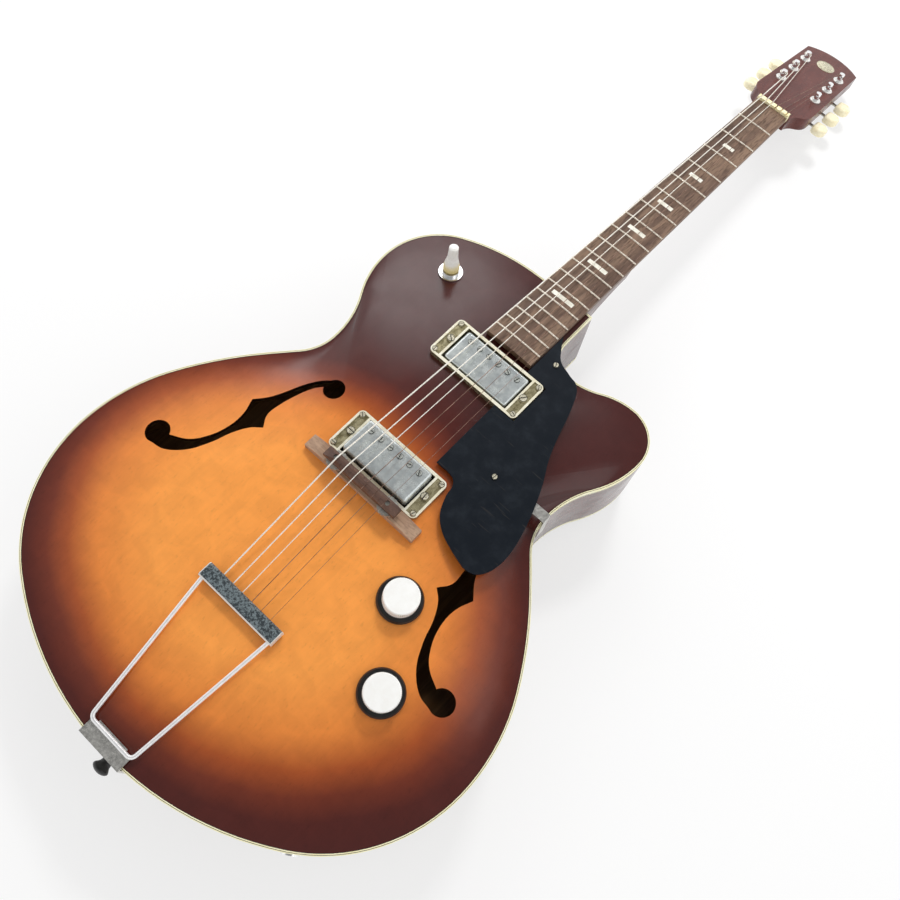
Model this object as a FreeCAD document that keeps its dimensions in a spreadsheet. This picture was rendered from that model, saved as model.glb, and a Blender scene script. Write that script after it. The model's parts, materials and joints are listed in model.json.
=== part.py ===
import FreeCAD, Part
import math
import os
import Sketcher
from FreeCAD import Placement, Rotation, Vector

# Archtop guitar: arched hollow body with one cutaway, two pickups, floating bridge, trapeze tailpiece and
# geared tuners. +X points to the treble side, +Y to the headstock and +Z out of the top. The origin is the
# middle of the bounding box's floor, under the arched back. Lengths are millimetres, angles degrees.
# Places named ..._at are measured from the neck joint towards the tail, heights from the rim's top edge.

SIZES = {
    # Outline of the sound box
    "body_length": 526.0,
    "lower_bout": 424.0,
    "waist": 242.0,
    "upper_bout": 296.0,
    "shoulder_flat": 59.0,
    "horn_out": 113.0,
    "horn_at": 45.4,
    "cutaway_out": 52.0,
    "cutaway_at": 60.8,
    "cutaway_wall_at": 36.0,
    # Plates, ribs and what stiffens them
    "rim_depth": 80.0,
    "top_arch": 16.0,
    "back_arch": 17.0,
    "crest_wide": 60.0,
    "plate_thick": 4.5,
    "rib_thick": 3.0,
    "binding_wide": 2.2,
    "binding_deep": 6.0,
    "lining_wide": 7.0,
    "lining_deep": 14.0,
    "neck_block_wide": 52.0,
    "neck_block_long": 46.0,
    "end_block_wide": 84.0,
    "end_block_long": 26.0,
    "tone_bar_wide": 8.0,
    "tone_bar_out": 54.0,
    # Sound holes
    "f_hole_long": 124.0,
    "f_eye_low": 10.5,
    "f_eye_high": 9.4,
    # Neck, fretboard and nut
    "scale_long": 630.0,
    "neck_pitch": 5.77,
    "board_rise": 6.46,
    "board_long": 432.0,
    "board_thick": 6.0,
    "board_camber": 305.0,
    "nut_span": 38.7,
    "board_end_span": 49.5,
    "neck_deep_nut": 14.0,
    "neck_deep_heel": 17.0,
    "heel_deep": 72.0,
    "heel_cap": 20.0,
    "heel_foot": 28.0,
    "heel_run": 76.0,
    "heel_round": 9.0,
    "truss_wide": 6.0,
    "truss_deep": 8.0,
    "truss_long": 320.0,
    "fret_wide": 2.2,
    "fret_tall": 1.1,
    "marker_wide": 4.6,
    "marker_deep": 1.5,
    "marker_span": 12.5,
    "marker_growth": 2.2,
    "nut_long": 5.0,
    "nut_tall": 2.8,
    "nut_slot_wide": 1.7,
    # Headstock
    "head_tilt": 14.0,
    "head_drop": 4.0,
    "head_thick": 14.0,
    "head_long": 167.5,
    "head_wide": 70.6,
    "head_flare_at": 36.0,
    "head_top_wide": 66.4,
    "head_corner_at": 156.5,
    "head_throat": 40.0,
    "badge_wide": 22.0,
    "badge_tall": 15.0,
    "badge_thick": 0.8,
    "badge_at": 138.0,
    # Tuners
    "tuner_out": 22.5,
    "tuner_first_at": 65.4,
    "tuner_step": 30.6,
    "strip_wide": 18.0,
    "strip_overhang": 21.0,
    "strip_thick": 1.2,
    "gear_module": 0.9,
    "gear_wide": 3.0,
    "tooth_high": 0.8,
    "tooth_low": 1.0,
    "tooth_play": 0.6,
    "tooth_flank": 20.0,
    "worm_radius": 2.8,
    "worm_long": 7.4,
    "worm_drop": 4.1,
    "shaft_radius": 1.5,
    "ear_thick": 1.3,
    "ear_gap": 10.0,
    "ear_wide": 6.0,
    "ear_margin": 2.4,
    "post_radius": 3.0,
    "post_tall": 9.5,
    "post_hole": 0.9,
    "bushing_wall": 1.5,
    "bushing_long": 6.0,
    "bushing_flange": 6.0,
    "bushing_flange_thick": 1.2,
    "post_clear": 0.6,
    "button_at": 15.5,
    "button_long": 16.0,
    "button_wide": 17.0,
    "button_thick": 8.5,
    "button_edge": 2.4,
    "run_gap": 0.05,
    # Pickups
    "ring_long": 95.6,
    "ring_wide": 41.2,
    "ring_round": 4.5,
    "ring_lip": 2.0,
    "ring_dish": 0.8,
    "neck_ring_top": 17.35,
    "bridge_ring_top": 19.05,
    "cover_long": 68.6,
    "cover_wide": 32.6,
    "cover_tall": 18.0,
    "cover_wall": 0.8,
    "cover_round": 2.4,
    "neck_cover_top": 17.9,
    "bridge_cover_top": 26.5,
    "cover_play": 1.6,
    "coil_tall": 14.0,
    "lug_long": 90.0,
    "lug_wide": 11.0,
    "lug_thick": 2.0,
    "pole_step": 10.4,
    "pole_off": 9.0,
    "pole_radius": 2.3,
    "pole_proud": 0.6,
    "pole_play": 0.1,
    "height_screw_out": 40.8,
    "ring_screw_out": 43.8,
    "ring_screw_side": 16.6,
    # Bridge
    "bridge_at": 260.0,
    "bridge_long": 117.0,
    "bridge_wide": 12.0,
    "bridge_top": 24.5,
    "bridge_end_top": 20.5,
    "bridge_flat": 92.0,
    "bridge_relief": 44.0,
    "bridge_relief_top": 18.6,
    "bridge_post_out": 27.5,
    "bridge_post_radius": 2.0,
    "bridge_post_sink": 5.0,
    "bridge_post_reach": 5.5,
    "wheel_radius": 8.5,
    "wheel_thick": 2.6,
    "wheel_lift": 2.3,
    "wheel_notch": 0.7,
    "saddle_long": 76.0,
    "saddle_wide": 9.0,
    "saddle_tall": 8.0,
    "saddle_end_tall": 4.0,
    "saddle_crown": 56.0,
    "saddle_slope": 3.0,
    "string_lift": 0.3,
    # Tailpiece and end pin
    "bar_long": 77.4,
    "bar_wide": 13.0,
    "bar_thick": 7.0,
    "bar_edge": 1.5,
    "bar_from_tail": 138.2,
    "bar_top": 25.0,
    "tail_rod_radius": 1.7,
    "tail_rod_out": 36.0,
    "tail_rod_in": 22.0,
    "tail_rod_bend": 5.0,
    "tail_rod_sink": 4.0,
    "knuckle_radius": 3.0,
    "knuckle_long": 30.0,
    "bracket_wide": 42.0,
    "bracket_thick": 1.6,
    "bracket_reach": 10.5,
    "bracket_drop": 54.0,
    "bracket_lift": 1.8,
    "pin_at": 38.0,
    "pin_shank": 4.0,
    "pin_sink": 22.0,
    "pin_collar": 6.2,
    "pin_collar_long": 1.8,
    "pin_waist": 4.6,
    "pin_waist_long": 6.5,
    "pin_head": 7.2,
    "pin_head_long": 4.0,
    "pin_dome": 4.0,
    "pin_taper": 2.2,
    # Strings
    "string_nut_span": 32.5,
    "string_bridge_span": 52.0,
    "string_tail_span": 50.0,
    "string_nut_lift": 1.5,
    "string_bend": 14.0,
    "string_bar_drop": 3.0,
    "wind_gap": 0.3,
    # Controls
    "volume_gap": 31.5,
    "tone_step": 58.6,
    "knob_skirt": 18.5,
    "knob_skirt_edge": 1.6,
    "knob_skirt_rim": 17.4,
    "knob_skirt_tall": 3.4,
    "knob_cap": 14.0,
    "knob_cap_edge": 0.6,
    "knob_tall": 16.0,
    "knob_lift": 0.9,
    "knob_recess": 9.0,
    "knob_recess_deep": 5.0,
    "knob_bore_deep": 13.0,
    "pot_radius": 12.0,
    "pot_tall": 9.0,
    "pot_gap": 0.6,
    "pot_shaft": 3.0,
    "pot_shaft_sink": 4.0,
    "pot_neck": 4.7,
    "pot_nut": 7.0,
    "pot_nut_tall": 2.4,
    "hole_play": 0.3,
    "seat_gap": 0.4,
    "switch_out": 91.0,
    "switch_at": 56.0,
    "switch_body": 9.0,
    "switch_body_tall": 24.0,
    "switch_neck": 5.9,
    "switch_bore": 4.2,
    "switch_washer": 11.0,
    "switch_washer_thick": 1.3,
    "switch_nut": 7.6,
    "switch_nut_tall": 3.0,
    "lever_radius": 1.6,
    "lever_drop": 2.0,
    "lever_pin": 1.25,
    "lever_reach": 24.0,
    "tip_lift": 7.2,
    "tip_tall": 28.0,
    "tip_foot": 7.4,
    "tip_foot_tall": 3.0,
    "tip_neck": 4.8,
    "tip_neck_at": 14.0,
    "tip_top": 4.2,
    "tip_crown": 2.6,
    "tip_crown_tall": 1.6,
    "jack_barrel": 4.7,
    "jack_bore": 3.2,
    "jack_inside": 20.0,
    "jack_bore_deep": 12.0,
    "jack_flange": 7.5,
    "jack_flange_thick": 2.6,
    "jack_at": 40.0,
    # Pickguard
    "guard_in": 26.5,
    "guard_at": 40.0,
    "guard_wide": 95.0,
    "guard_long": 214.0,
    "guard_thick": 2.0,
    "guard_top": 12.6,
    "guard_tilt": 2.56,
    "guard_play": 0.6,
    "clip_past_waist": 4.0,
    "clip_wide": 9.0,
    "clip_thick": 1.2,
    "clip_lap": 8.0,
    "clip_drop": 24.0,
    "clip_play": 1.0,
    "guard_screw_out": 70.0,
    "guard_screw_at": 181.0,
    "guard_neck_screw_out": 40.0,
    "guard_neck_screw_at": 67.0,
    # Small screws
    "screw_head": 2.3,
    "screw_head_tall": 1.3,
    "screw_shank": 1.1,
    "screw_long": 8.0,
    "height_head": 3.2,
    "height_head_tall": 1.8,
    "height_shank": 1.4,
    # One overrun for all cuts, and the step for measuring a slope
    "overrun": 30.0,
    "slope_step": 4.0,
}

BODY_FRET = 14
FRET_COUNT = 19
MARKED_FRETS = (3, 5, 7, 9, 12, 15)
GEAR_TEETH = 12
TUNERS_A_SIDE = 3
POLES = 6
WHEEL_NOTCHES = 16

# Diameters from the bass side to the treble side.
STRING_DIAMETERS = {
    "string_6": 1.30,
    "string_5": 1.05,
    "string_4": 0.80,
    "string_3": 0.60,
    "string_2": 0.42,
    "string_1": 0.32,
}
SIZES.update(STRING_DIAMETERS)

# Places along the body, as shares of its length from the neck joint.
UPPER_BOUT_SHARE = 0.1521
WAIST_SHARE = 0.3308
LOWER_BOUT_SHARE = 0.6939
CREST_SHARE = 0.4563
CREST_LONG_SHARE = 0.2471
F_HOLE_SHARE = 0.5146
TONE_BAR_SHARE = 0.19
TONE_BAR_LONG_SHARE = 0.589
# Places across the body, as shares of its width at the lower bout.
F_HOLE_OUT_SHARE = 0.2601
VOLUME_OUT_SHARE = 0.1958
TONE_OUT_SHARE = 0.283
# The flank between waist and lower bout: shares of the way along and out, and of the mean slope there.
FLANK_SHARE = 0.286
FLANK_OUT_SHARE = 0.357
FLANK_SLOPE_SHARE = 1.73
# Gaps before the neck pickup and after the bridge pickup, as shares of the room between board and bridge.
NECK_RING_SHARE = 0.0985
BRIDGE_RING_SHARE = 0.0201
# How far each string's rest on the saddle is set towards the tail, as a share of the saddle's width.
SADDLE_REST_SHARES = (0.13, 0.05, -0.04, 0.1, 0.02, -0.08)

# Arch contours: share of the way from the edge to the crest, share of the arch's height.
ARCH_STEP_SHARES = ((0.0, 0.0), (0.06, 0.03), (0.2, 0.25), (0.4, 0.58), (0.6, 0.82), (0.8, 0.955),
                    (1.0, 1.0))
# Where each outline stop meets the crest, as a share of a turn round it from its head end by the bass side.
CREST_TURN_SHARES = (0.035, 0.12, 0.2, 0.25, 0.345, 0.5, 0.655, 0.75, 0.8, 0.875, 0.908, 0.938, 0.962,
                     0.985)

# Beside the neck the arch's level lines leave the outline's corner: how far the cutaway's wall moves to the
# cutaway, and the corner over the flat and back to the wall.
CORNER_EASE_SHARES = (0.3, 0.36, 0.4)
# The share of the way to the crest at which they are wholly eased.
CORNER_EASED_SHARE = 0.2
# The outline's hollow stops: both sides of the waist, and the cutaway.
HOLLOW_STOPS = (2, 8, 11)

# Sound hole stem, in shares of its length from the middle between its notches: four smooth edges.
F_STEM_SHARES = (
    ((0.106, 0.05), (0.065, -0.065), (0.061, -0.185), (0.097, -0.315), (0.177, -0.431), (0.319, -0.508)),
    ((0.319, -0.508), (0.363, -0.615)),
    ((0.363, -0.615), (0.242, -0.589), (0.129, -0.492), (0.056, -0.355), (0.008, -0.21), (-0.048, -0.109),
     (-0.113, -0.051)),
    ((-0.113, -0.051), (-0.06, 0.032), (-0.06, 0.129), (-0.085, 0.25), (-0.129, 0.371), (-0.185, 0.444)),
    ((-0.185, 0.444), (-0.226, 0.532)),
    ((-0.226, 0.532), (-0.133, 0.464), (-0.065, 0.363), (-0.012, 0.234), (0.036, 0.137), (0.106, 0.05)),
)
F_LOW_EYE_SHARES = (0.378, -0.533)
F_HIGH_EYE_SHARES = (-0.248, 0.467)

# Pickguard edge, in shares of its width outwards and its length towards the tail.
GUARD_SHARES = (
    ((0.0, 0.0), (0.068, 0.051), (0.153, 0.098), (0.289, 0.121), (0.405, 0.138), (0.489, 0.196),
     (0.668, 0.439), (0.816, 0.575), (0.921, 0.701), (0.989, 0.832), (0.984, 0.921), (0.921, 0.981),
     (0.826, 1.0), (0.7, 0.991), (0.479, 0.956), (0.353, 0.911), (0.284, 0.85), (0.25, 0.79), (0.19, 0.768),
     (0.016, 0.766)),
    ((0.016, 0.766), (0.0, 0.0)),
)


class Size:
    """A size as its number and as the text of an expression on the sheet."""

    def __init__(self, value, text):
        self.value = value
        self.text = text

    @staticmethod
    def of(item):
        return item if isinstance(item, Size) else Size(float(item), repr(float(item)))

    def joined(self, other, sign, value):
        return Size(value, "(%s %s %s)" % (self.text, sign, other.text))

    def __add__(self, other):
        other = Size.of(other)
        return self.joined(other, "+", self.value + other.value)

    def __sub__(self, other):
        other = Size.of(other)
        return self.joined(other, "-", self.value - other.value)

    def __mul__(self, other):
        other = Size.of(other)
        return self.joined(other, "*", self.value * other.value)

    def __truediv__(self, other):
        other = Size.of(other)
        return self.joined(other, "/", self.value / other.value)

    def __neg__(self):
        return Size(-self.value, "(0 - %s)" % self.text)


class Values:
    """Numbers, or expressions, read from the sheet by name."""

    def __init__(self, sheet, as_expression):
        self.sheet = sheet
        self.as_expression = as_expression

    def __getattr__(self, alias):
        value = float(self.sheet.get(alias))
        return Size(value, "Sizes." + alias) if self.as_expression else value


doc = FreeCAD.newDocument("archtop_guitar")
sheet = doc.addObject("Spreadsheet::Sheet", "Sizes")
for row, (alias, value) in enumerate(SIZES.items(), start=1):
    sheet.set("A%d" % row, alias)
    sheet.set("B%d" % row, repr(value))
    sheet.setAlias("B%d" % row, alias)
doc.recompute()
v = Values(sheet, False)
e = Values(sheet, True)
nodes = {}

X_AXIS = Vector(1, 0, 0)
Y_AXIS = Vector(0, 1, 0)
Z_AXIS = Vector(0, 0, 1)


# Places shared by many pieces

def fret_at(number):
    return v.scale_long * (1 - 2 ** (-number / 12))


JOINT_FROM_NUT = fret_at(BODY_FRET)
PITCH = math.radians(v.neck_pitch)
TILT = math.radians(v.head_tilt)
HEAD_REACH = JOINT_FROM_NUT * math.cos(PITCH) + v.head_long * math.cos(TILT)
PIN_REACH = v.pin_collar_long + v.pin_taper + v.pin_waist_long + v.pin_taper + v.pin_head_long
TAIL_REACH = v.body_length + v.bracket_thick + PIN_REACH
JOINT_Y = (TAIL_REACH - HEAD_REACH) / 2
RIM_Z = v.rim_depth + v.back_arch


UPPER_BOUT_AT = UPPER_BOUT_SHARE * v.body_length
WAIST_AT = WAIST_SHARE * v.body_length
LOWER_BOUT_AT = LOWER_BOUT_SHARE * v.body_length
F_HOLE_AT = F_HOLE_SHARE * v.body_length
F_HOLE_OUT = F_HOLE_OUT_SHARE * v.lower_bout
BAR_AT = v.body_length - v.bar_from_tail
VOLUME_AT = v.guard_at + v.guard_long + v.volume_gap + v.knob_skirt
CLIP_AT = WAIST_AT + v.clip_past_waist
BOARD_END = JOINT_FROM_NUT - v.board_long
BOARD_END_AT = -BOARD_END * math.cos(PITCH)
PICKUP_ROOM = v.bridge_at - v.bridge_wide / 2 - BOARD_END_AT - 2 * v.ring_wide
NECK_RING_AT = BOARD_END_AT + NECK_RING_SHARE * PICKUP_ROOM + v.ring_wide / 2
BRIDGE_RING_AT = v.bridge_at - v.bridge_wide / 2 - BRIDGE_RING_SHARE * PICKUP_ROOM - v.ring_wide / 2


def spot(out, at, height):
    """A point given outwards from the centre line, from the neck joint towards the tail, above the rim."""
    return Vector(out, JOINT_Y - at, RIM_Z + height)


NECK_PLACE = Placement(spot(0, 0, v.board_rise), Rotation(X_AXIS, -v.neck_pitch))
NUT_POINT = NECK_PLACE.multVec(Vector(0, JOINT_FROM_NUT, 0))
HEAD_PLACE = Placement(NUT_POINT - Z_AXIS * v.head_drop, Rotation(X_AXIS, -v.head_tilt))


# Curves

def unit(vector):
    return Vector(vector).normalize()


def left_of(direction):
    return Vector(-direction.y, direction.x, 0)


def arc_from(start, direction, end):
    """The arc, or straight run, that leaves start along direction and ends at end."""
    chord = end - start
    side = left_of(direction)
    if abs(chord.dot(side)) < 1e-6 * chord.Length:
        return Part.LineSegment(start, end).toShape()
    radius = chord.dot(chord) / (2 * chord.dot(side))
    centre = start + side * radius
    middle = centre + unit((start - centre) + (end - centre)) * abs(radius)
    return Part.Arc(start, middle, end).toShape()


def biarc_knee(start, leave, end, arrive):
    """The point and direction where two arcs meet on the way from start to end."""
    chord = end - start
    spread = 2 * (1 - leave.dot(arrive))
    along = chord.dot(leave + arrive)
    if spread < 1e-9:
        reach = chord.dot(chord) / (4 * chord.dot(arrive))
    else:
        reach = (math.sqrt(along ** 2 + spread * chord.dot(chord)) - along) / spread
    first = start + leave * reach
    second = end - arrive * reach
    return (first + second) * 0.5, unit(second - first)


def with_knees(stops):
    """A closed ring of stops (point, arriving, leaving) with the arc joints between them."""
    ring = []
    for stop, following in zip(stops, stops[1:] + stops[:1]):
        knee, direction = biarc_knee(stop[0], stop[2], following[0], following[1])
        ring += [stop, (knee, direction, direction)]
    return ring


def inset(ring, distance):
    """The ring moved inwards. Its one corner is square, so both of its normals count there."""
    moved = []
    for point, arrive, leave in ring:
        square = arrive.dot(leave) < 0.5
        shift = left_of(arrive) + left_of(leave) if square else left_of(leave)
        moved.append((point + shift * distance, arrive, leave))
    return moved


def ring_wire(ring, height=0):
    lift = Vector(0, 0, height)
    runs = [arc_from(a[0] + lift, a[2], b[0] + lift) for a, b in zip(ring, ring[1:] + ring[:1])]
    return Part.Wire(runs)


def smooth_run(points):
    """Arcs through points, bending evenly at each one between the ends."""
    ways = [unit(points[1] - points[0])]
    for before, after in zip(points, points[2:]):
        ways.append(unit(after - before))
    ways.append(unit(points[-1] - points[-2]))
    runs = []
    for index in range(len(points) - 1):
        start, end = points[index], points[index + 1]
        knee, direction = biarc_knee(start, ways[index], end, ways[index + 1])
        runs += [arc_from(start, ways[index], knee), arc_from(knee, direction, end)]
    return runs


def face_of(runs):
    return Part.Face(Part.Wire(runs))


def upright(face, low, high):
    """A flat face at height zero made a solid from one height to another."""
    solid = face.extrude(Vector(0, 0, high - low))
    solid.translate(Vector(0, 0, low))
    return solid


def block(wide, long, low, high, middle=Vector()):
    """A box about a point in plan, from one height to another."""
    corner = Vector(middle.x - wide / 2, middle.y - long / 2, low)
    return Part.makeBox(wide, long, high - low, corner)


def rod(radius, start, end):
    return Part.makeCylinder(radius, (end - start).Length, start, end - start)


# Making and keeping sub-parts

def keep(label, item):
    """Names an object of the document as a sub-part."""
    item.Label = label
    nodes[label] = item
    return item


def shaped(label, shape, place=Placement()):
    """A sub-part whose form neither a body nor a primitive gives."""
    item = doc.addObject("Part::Feature", label)
    item.Shape = shape
    item.Placement = place.multiply(shape.Placement)
    return keep(label, item)


def profile_sketch(body, role, points):
    """A closed outline whose corners are bound to the sheet."""
    sketch = body.newObject("Sketcher::SketchObject", body.Name + "_profile")
    plane = [item for item in body.Origin.OriginFeatures if item.Role == role][0]
    sketch.AttachmentSupport = [(plane, "")]
    sketch.MapMode = "FlatFace"
    corners = [(Size.of(a), Size.of(b)) for a, b in points]
    count = len(corners)
    for index in range(count):
        ends = (corners[index], corners[(index + 1) % count])
        start, end = (Vector(a.value, b.value, 0) for a, b in ends)
        sketch.addGeometry(Part.LineSegment(start, end), False)
    for index in range(count):
        sketch.addConstraint(Sketcher.Constraint("Coincident", index, 2, (index + 1) % count, 1))
    for index, corner in enumerate(corners):
        for kind, size in zip(("DistanceX", "DistanceY"), corner):
            number = sketch.addConstraint(Sketcher.Constraint(kind, -1, 1, index, 1, size.value))
            sketch.setExpression("Constraints[%d]" % number, size.text)
    return sketch


def turned(label, points, place=Placement()):
    """A body turned about its own Z from an outline of radius and height."""
    body = doc.addObject("PartDesign::Body", label)
    sketch = profile_sketch(body, "XZ_Plane", points)
    feature = body.newObject("PartDesign::Revolution", label + "_turned")
    feature.Profile = sketch
    feature.ReferenceAxis = (sketch, ["V_Axis"])
    feature.Angle = 360
    body.Tip = feature
    body.Placement = place
    return body


def padded(label, role, points, length, place=Placement()):
    """A body of even section, padded both ways from one of its origin planes."""
    body = doc.addObject("PartDesign::Body", label)
    sketch = profile_sketch(body, role, points)
    feature = body.newObject("PartDesign::Pad", label + "_pad")
    feature.Profile = sketch
    feature.SideType = "Symmetric"
    feature.setExpression("Length", length.text)
    body.Tip = feature
    body.Placement = place
    return body


def bored(body, role, along, across, radius, pitch=None, count=1):
    """Round holes right through a body, square to one of its origin planes."""
    sketch = body.newObject("Sketcher::SketchObject", body.Name + "_holes")
    plane = [item for item in body.Origin.OriginFeatures if item.Role == role][0]
    sketch.AttachmentSupport = [(plane, "")]
    sketch.MapMode = "FlatFace"
    for index in range(count):
        x = along if pitch is None else along + pitch * index
        sketch.addGeometry(Part.Circle(Vector(x.value, across.value, 0), Z_AXIS, radius.value), False)
        for kind, size in (("DistanceX", x), ("DistanceY", across)):
            number = sketch.addConstraint(Sketcher.Constraint(kind, -1, 1, index, 3, size.value))
            sketch.setExpression("Constraints[%d]" % number, size.text)
        number = sketch.addConstraint(Sketcher.Constraint("Radius", index, radius.value))
        sketch.setExpression("Constraints[%d]" % number, radius.text)
    pocket = body.newObject("PartDesign::Pocket", body.Name + "_bore")
    pocket.Profile = sketch
    pocket.Type = "ThroughAll"
    pocket.SideType = "Symmetric"
    body.Tip = pocket
    return pocket


def cut_from(label, base, tool):
    """A sub-part that is one object with another's shape taken away."""
    item = doc.addObject("Part::Cut", label)
    item.Base = base
    item.Tool = tool
    return keep(label, item)


def blank(name, shape):
    """A helping shape that isn't a sub-part."""
    item = doc.addObject("Part::Feature", name)
    item.Shape = shape
    return item


def group(label, shapes):
    return shaped(label, Part.makeCompound(shapes))


def screw(head, head_tall, shank, long):
    """A screw that points down, with the underside of its head at zero."""
    return Part.makeCylinder(head, head_tall).fuse(Part.makeCylinder(shank, long, Vector(), -Z_AXIS))


def placed(shape, place):
    copy = shape.copy()
    copy.Placement = place.multiply(copy.Placement)
    return copy


def facing(point, direction):
    """A placement at a point whose Z looks along a direction."""
    return Placement(point, Rotation(Z_AXIS, direction))


# Sound box

def outline_stops():
    """Stops round the sound box seen from above, by the bass side from the neck."""
    half_flat = v.shoulder_flat / 2
    half_waist, half_bout = v.waist / 2, v.lower_bout / 2
    slope = (half_bout - half_waist) / (LOWER_BOUT_AT - WAIST_AT)
    lean = math.atan(FLANK_SLOPE_SHARE * slope)
    flank_out = half_waist + FLANK_OUT_SHARE * (half_bout - half_waist)
    flank_at = WAIST_AT + FLANK_SHARE * (LOWER_BOUT_AT - WAIST_AT)
    head, tail, bass, treble = Y_AXIS, -Y_AXIS, -X_AXIS, X_AXIS

    def stop(out, at, direction):
        return Vector(out, JOINT_Y - at, 0), direction, direction

    corner = (Vector(half_flat, JOINT_Y, 0), head, bass)
    return [
        stop(-half_flat, 0, bass),
        stop(-v.upper_bout / 2, UPPER_BOUT_AT, tail),
        stop(-half_waist, WAIST_AT, tail),
        stop(-flank_out, flank_at, Vector(-math.sin(lean), -math.cos(lean), 0)),
        stop(-half_bout, LOWER_BOUT_AT, tail),
        stop(0, v.body_length, treble),
        stop(half_bout, LOWER_BOUT_AT, head),
        stop(flank_out, flank_at, Vector(-math.sin(lean), math.cos(lean), 0)),
        stop(half_waist, WAIST_AT, head),
        stop(v.upper_bout / 2, UPPER_BOUT_AT, head),
        stop(v.horn_out, v.horn_at, bass),
        stop(v.cutaway_out, v.cutaway_at, bass),
        stop(half_flat, v.cutaway_wall_at, head),
        corner,
    ]


OUTLINE = with_knees(outline_stops())


def crest_stop(share):
    """Point and direction on the oval at the top of the arch."""
    turn = 2 * math.pi * share
    half_wide, half_long = v.crest_wide / 2, CREST_LONG_SHARE * v.body_length / 2
    middle = JOINT_Y - CREST_SHARE * v.body_length - half_long
    point = Vector(-half_wide * math.sin(turn), middle + half_long * math.cos(turn), 0)
    return point, unit(Vector(-half_wide * math.cos(turn), -half_long * math.sin(turn), 0))


def eased(stops, share):
    """The stops with the hollows and the corner beside the neck drawn smooth, so the arch has no fold."""
    stops = list(stops)
    first, cutaway, wall, corner = [stops[index][0] for index in (0, -3, -2, -1)]
    wall_share, flat_share, drop_share = CORNER_EASE_SHARES
    way = min(1, share / CORNER_EASED_SHARE)
    wall = wall + (cutaway - wall) * wall_share * way
    corner = corner + ((first - corner) * flat_share + (wall - corner) * drop_share) * way
    turning = unit(Y_AXIS - X_AXIS * way)
    stops[-2:] = [(wall, turning, turning), (corner, turning, turning)]
    for index in HOLLOW_STOPS:
        point, arrive, leave = stops[index]
        middle = (stops[index - 1][0] + stops[index + 1][0]) * 0.5
        stops[index] = (point + (middle - point) * share, arrive, leave)
    return stops


def contour(share, height):
    """One level line of the arch, part of the way from the plate's edge to the crest."""
    edge = inset(OUTLINE, v.binding_wide)
    if share == 0:
        return ring_wire(edge, height)
    stops = []
    for (point, arrive, leave), turn_share in zip(eased(edge[::2], share), CREST_TURN_SHARES):
        top, along = crest_stop(turn_share)
        way = unit(unit(arrive + leave) * (1 - share) + along * share)
        stops.append((point + (top - point) * share, way, way))
    return ring_wire(with_knees(stops), height)


def arch_faces(arch):
    """The arched skin over the flat edge, with its crest, and the edge's own wire."""
    levels = [contour(share, arch * rise) for share, rise in ARCH_STEP_SHARES]
    skin = Part.makeLoft(levels, False, False)
    return skin.Faces + [Part.Face(levels[-1])], levels[0]


def closed_solid(faces):
    shell = Part.Shell(faces)
    shell.sewShape()
    solid = Part.Solid(shell)
    if solid.Volume < 0:
        solid.reverse()
    return solid


def arched_mound(arch):
    """All that lies under the arch, down to the level of its edge."""
    faces, edge = arch_faces(arch)
    return closed_solid(faces + [Part.Face(edge)])


def arched_plate(arch):
    """A plate of even thickness whose edge is flat."""
    faces, edge = arch_faces(arch)
    drop = Vector(0, 0, -v.plate_thick)
    under = []
    for face in faces:
        lower = face.copy()
        lower.translate(drop)
        under.append(lower)
    return closed_solid(faces + under + edge.extrude(drop).Faces)


TOP_MOUND = arched_mound(v.top_arch)
TOP_MOUND.translate(Vector(0, 0, RIM_Z))


def top_height(out, at):
    """Height of the top above the rim at a place."""
    foot = spot(out, at, 0)
    line = Part.makeLine(foot, foot + Z_AXIS * (v.top_arch + v.overrun))
    return TOP_MOUND.common(line).BoundBox.ZMax - RIM_Z


def top_spot(out, at):
    return spot(out, at, top_height(out, at))


def top_normal(out, at):
    """The way that the top looks at a place."""
    step = v.slope_step
    rise_out = (top_height(out + step, at) - top_height(out - step, at)) / (2 * step)
    rise_at = (top_height(out, at + step) - top_height(out, at - step)) / (2 * step)
    return unit(Vector(-rise_out, rise_at, 1))


def f_hole(side):
    """A sound hole's cutter: the stem with an eye at each end."""
    def place(shares):
        return Vector(side * (F_HOLE_OUT + shares[0] * v.f_hole_long),
                      JOINT_Y - F_HOLE_AT + shares[1] * v.f_hole_long, 0)

    runs = []
    for edge in F_STEM_SHARES:
        runs += smooth_run([place(shares) for shares in edge])
    low, high = RIM_Z - v.overrun, RIM_Z + v.overrun
    cutter = upright(face_of(runs), low, high)
    for shares, radius in ((F_LOW_EYE_SHARES, v.f_eye_low), (F_HIGH_EYE_SHARES, v.f_eye_high)):
        eye = Part.makeCylinder(radius, high - low, place(shares) + Z_AXIS * low)
        cutter = cutter.fuse(eye)
    return cutter


def pickup_opening(at):
    """Clears a pickup's cover and the lugs that carry it."""
    middle = spot(0, at, 0)
    low, high = RIM_Z - v.overrun, RIM_Z + v.overrun
    cover = block(v.cover_long + 2 * v.cover_play, v.cover_wide + 2 * v.cover_play, low, high, middle)
    return cover.fuse(block(v.lug_long + v.cover_play, v.lug_wide + v.cover_play, low, high, middle))


CONTROL_SPOTS = {
    "volume": (VOLUME_OUT_SHARE * v.lower_bout, VOLUME_AT),
    "tone": (TONE_OUT_SHARE * v.lower_bout, VOLUME_AT + v.tone_step),
    "switch": (-v.switch_out, v.switch_at),
}
CONTROL_PLACES = {name: facing(top_spot(*at), top_normal(*at)) for name, at in CONTROL_SPOTS.items()}
HOLE_RADII = {"volume": v.pot_neck, "tone": v.pot_neck, "switch": v.switch_neck}


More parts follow.
